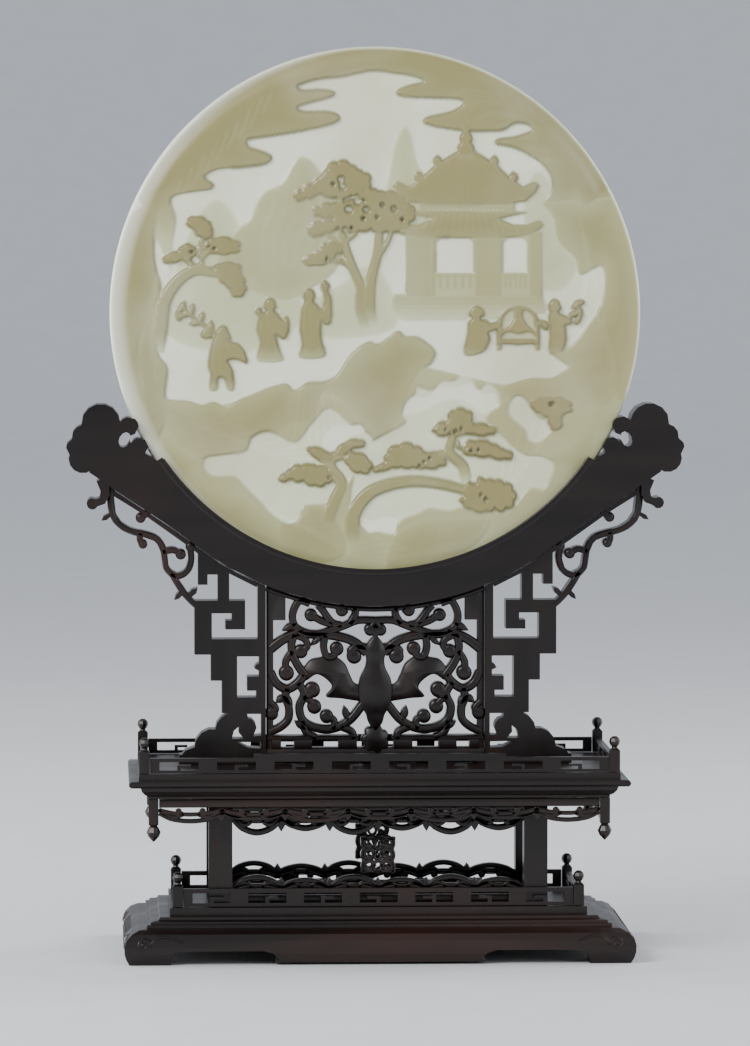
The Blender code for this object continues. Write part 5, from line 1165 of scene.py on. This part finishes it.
# The running scroll from the fret to the cradle's arm, drawn about the disc's centre
BRACKET_STEMS = (
    (((123.5, -79), (124.6, -86), (124.4, -92.1), (122.4, -97.4), (118.6, -100.9), (114, -103),
     (109, -104), (103.6, -106), (100.4, -110), (99.4, -115), (98.6, -120), (95.4, -123.4),
     (91.6, -123.6), (88.2, -120.8), (86.8, -116), (87.2, -110)), 2.2),
    (((100.2, -112.4), (95.4, -111.6), (91.8, -113.6)), 2.3),
    (((110.6, -103.6), (111, -106.6), (109.6, -108.8)), 2),
    (((106, -90), (107.4, -94), (110.6, -96.4)), 2.2),
    (((96, -122.4), (93.6, -127), (90.2, -132), (86.4, -136.2), (83.6, -138.4)), 0),
)
BRACKET_STEM_WIDTH = 3.3


def bracket_carving(material):
    """Rounds the bracket's stems and buds over the sawn board."""
    for side, place in ((-1, "left"), (1, "right")):
        low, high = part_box(f"fret_side_{place}")
        carving = Carving(1000.0 * (high[1] - low[1]) + BRACKET_PROUD)
        for points, bud in BRACKET_STEMS:
            path = [(side * x, z) for x, z in points]
            carving.stem(path, BRACKET_STEM_WIDTH, BRACKET_STEM_WIDTH - 0.3, bud * 1.08)
        spot = (DISC_CENTRE[0], 0.5 * (low[1] + high[1]), DISC_CENTRE[1])
        carving.place(f"scroll_bracket_{place}", material, spot)


def lip_carving(material):
    """A softly rounded bead along the cradle's front lip, true to the disc's circle."""
    front = 1000.0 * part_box("crescent_cradle")[0][1]
    carving = Carving(CARVING_DEPTH)
    bead = arc(-LIP_REACH, LIP_REACH, DISC_RADIUS - LIP_COVER + 1.0, steps=60)
    carving.stem(bead, LIP_WIDTH, spans=3)
    carving.place("cradle_lip", material, (DISC_CENTRE[0], MM * (front + 1.1), DISC_CENTRE[1]))


# The bulging apron's profile: heights over the floor and how far back the face lies there
BULGE_HEIGHTS = (0.0, 2.6, 5.2, 8.4, 11.4, 14.2, 15.9)
BULGE_SETBACKS = (2.4, 1.0, 0.2, 0.0, 0.9, 3.4, 7.0)
BASE_BULGE_Z = 9.4
VOLUTE_RADIUS = 4.4
VOLUTE_LOSS = 1.1
VOLUTE_WIDTH = 1.7
VOLUTE_INSET = 9.0
VOLUTE_TAIL = ((12.4, 0), (15, 3.4), (20, 3.8), (27, 1.4))
STROKE_PITCH = 8.0
CARVING_SUNK = 0.9


def volute(corner, side):
    """A spiral drawn inwards, set in from a corner."""
    spiral = []
    for turn in np.linspace(0.0, 2.6 * math.pi, 26):
        radius = VOLUTE_RADIUS - VOLUTE_LOSS - VOLUTE_LOSS * turn / math.pi
        spiral.append((side * (corner - VOLUTE_INSET - radius * math.cos(turn)),
                       BASE_BULGE_Z + 0.94 * radius * math.sin(turn)))
    return spiral


def base_carving(material):
    """Cloud scrolls on the corners of the bulging apron and slanting strokes between them on the ends."""
    low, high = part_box("base_plinth")
    half_x, half_y = 500.0 * (high[0] - low[0]), 500.0 * (high[1] - low[1])
    for place, turn, corner, reach in (("front", 0.0, half_x, -half_y), ("back", 180.0, half_x, half_y),
                                       ("left", 270.0, half_y, -half_x), ("right", 90.0, half_y, half_x)):
        carving = Carving(CARVING_DEPTH)
        for side in (-1, 1):
            carving.stem(volute(corner, side), VOLUTE_WIDTH, 0.9, bud=1.1, spans=2)
            tail = [(side * (corner - inset), BASE_BULGE_Z + up) for inset, up in VOLUTE_TAIL]
            carving.stem(tail, VOLUTE_WIDTH, 0.5)
        end_board = place in ("left", "right")
        strokes = int((2.0 * corner - 70.0) / STROKE_PITCH) if end_board else 0
        for index in range(strokes):
            x = (index - 0.5 * (strokes - 1)) * STROKE_PITCH
            carving.leaf((x - 3.2, BASE_BULGE_Z - 4.0), (x + 3.2, BASE_BULGE_Z + 4.8), 1.3)
        carving.verts = [(x, y + float(np.interp(z, BULGE_HEIGHTS, BULGE_SETBACKS)), z)
                         for x, y, z in carving.verts]
        inward = MM * (reach - math.copysign(CARVING_SUNK, reach))
        spot = (inward, 0.0, low[2]) if end_board else (0.0, inward, low[2])
        carving.place(f"base_carving_{place}", material, spot, turn)


def openwork(upright, across):
    """Every carved board's finer form."""
    for place in ("front", "back", "left", "right"):
        swag_board(f"upper_frieze_{place}", across, 24.0, False, 0.4)
        swag_board(f"lower_frieze_{place}", across, 24.0, True, 0.32)
        swag_board(f"upper_apron_{place}", across, 30.0, False, 0.34)
    for place in ("front", "back"):
        strut_carving(f"strut_{place}", upright)
    panel_carving(upright)
    lip_carving(across)
    bracket_carving(upright)
    base_carving(across)


# Camera, light and floor

LENS = 219.0
FILM = 36.0
CAMERA_DISTANCE = 3.0
CAMERA_HEIGHT = 0.3665
CAMERA_YAW = 2.5
AIM_HEIGHT = 0.202
SWEEP_FLAT = 5.0
SWEEP_BEND = 2.5
SWEEP_SIDES = 72
LIGHT_AIM = (0.0, 0.0, 0.22)
KEY_POWER = 50.0
FILL_POWER = 16.0
LEFT_EDGE_POWER = 16.0
RIGHT_EDGE_POWER = 14.0
SKY_COLOUR = (0.80, 0.84, 0.90, 1.0)
SKY_STRENGTH = 0.78


def camera():
    lens = bpy.data.cameras.new("camera")
    lens.sensor_fit = "VERTICAL"
    lens.sensor_height = FILM
    lens.lens = LENS
    eye = add_object("camera", lens)
    yaw = math.radians(CAMERA_YAW)
    eye.location = (-CAMERA_DISTANCE * math.sin(yaw), -CAMERA_DISTANCE * math.cos(yaw), CAMERA_HEIGHT)
    turn_to(eye, (0.0, 0.0, AIM_HEIGHT))
    bpy.context.scene.camera = eye


def turn_to(thing, target):
    """Points a camera or a lamp at a spot."""
    heading = Vector(target) - thing.location
    thing.rotation_euler = heading.to_track_quat("-Z", "Y").to_euler()


def area_light(name, place, size, power, colour=(1.0, 1.0, 1.0)):
    light = bpy.data.lights.new(name, "AREA")
    light.shape = "RECTANGLE"
    light.size, light.size_y = size
    light.energy = power
    light.color = colour
    lamp = add_object(name, light)
    lamp.location = place
    turn_to(lamp, LIGHT_AIM)


def paper_sweep():
    """A pale round sweep of paper, wide enough to stand in."""
    profile = [(0.6, 0.0), (2.0, 0.0), (SWEEP_FLAT, 0.0)]
    profile += [(SWEEP_FLAT + SWEEP_BEND * math.sin(turn), SWEEP_BEND * (1.0 - math.cos(turn)))
                for turn in np.linspace(0.1, 1.3, 12)]
    turns = np.linspace(0.0, math.tau, SWEEP_SIDES, endpoint=False)
    verts = [(radius * math.cos(turn), radius * math.sin(turn), z) for radius, z in profile for turn in turns]
    faces = [tuple(range(SWEEP_SIDES))]
    for row in range(len(profile) - 1):
        inner, outer = row * SWEEP_SIDES, (row + 1) * SWEEP_SIDES
        for step in range(SWEEP_SIDES):
            after = (step + 1) % SWEEP_SIDES
            faces.append((inner + step, outer + step, outer + after, inner + after))
    mesh = bpy.data.meshes.new("paper_sweep")
    mesh.from_pydata(verts, [], faces)
    mesh.shade_smooth()
    finish = Finish("pale_paper")
    finish.link(finish.ramp(finish.noise(30.0), PAPER_TONES), finish.shader.inputs["Base Color"])
    finish.surface({"Roughness": 0.7})
    mesh.materials.append(finish.material)
    floor = add_object("paper_sweep", mesh)


def studio():
    """Soft light from above and all sides, over the paper."""
    paper_sweep()
    world = bpy.data.worlds.new("studio")
    world.use_nodes = True
    sky = world.node_tree.nodes["Background"].inputs
    sky["Color"].default_value = SKY_COLOUR
    sky["Strength"].default_value = SKY_STRENGTH
    bpy.context.scene.world = world
    area_light("key", (-1.5, -1.5, 1.5), (1.0, 1.0), KEY_POWER, (1.0, 0.98, 0.94))
    area_light("fill", (1.7, -1.7, 0.9), (1.4, 1.4), FILL_POWER, (0.94, 0.97, 1.0))
    area_light("left_edge", (-1.3, 0.5, 0.5), (0.5, 1.3), LEFT_EDGE_POWER)
    area_light("right_edge", (1.3, 0.6, 0.6), (0.5, 1.3), RIGHT_EDGE_POWER)


def main():
    dress_wood()
    jade_piece(jade_finish())
    studio()
    camera()


main()
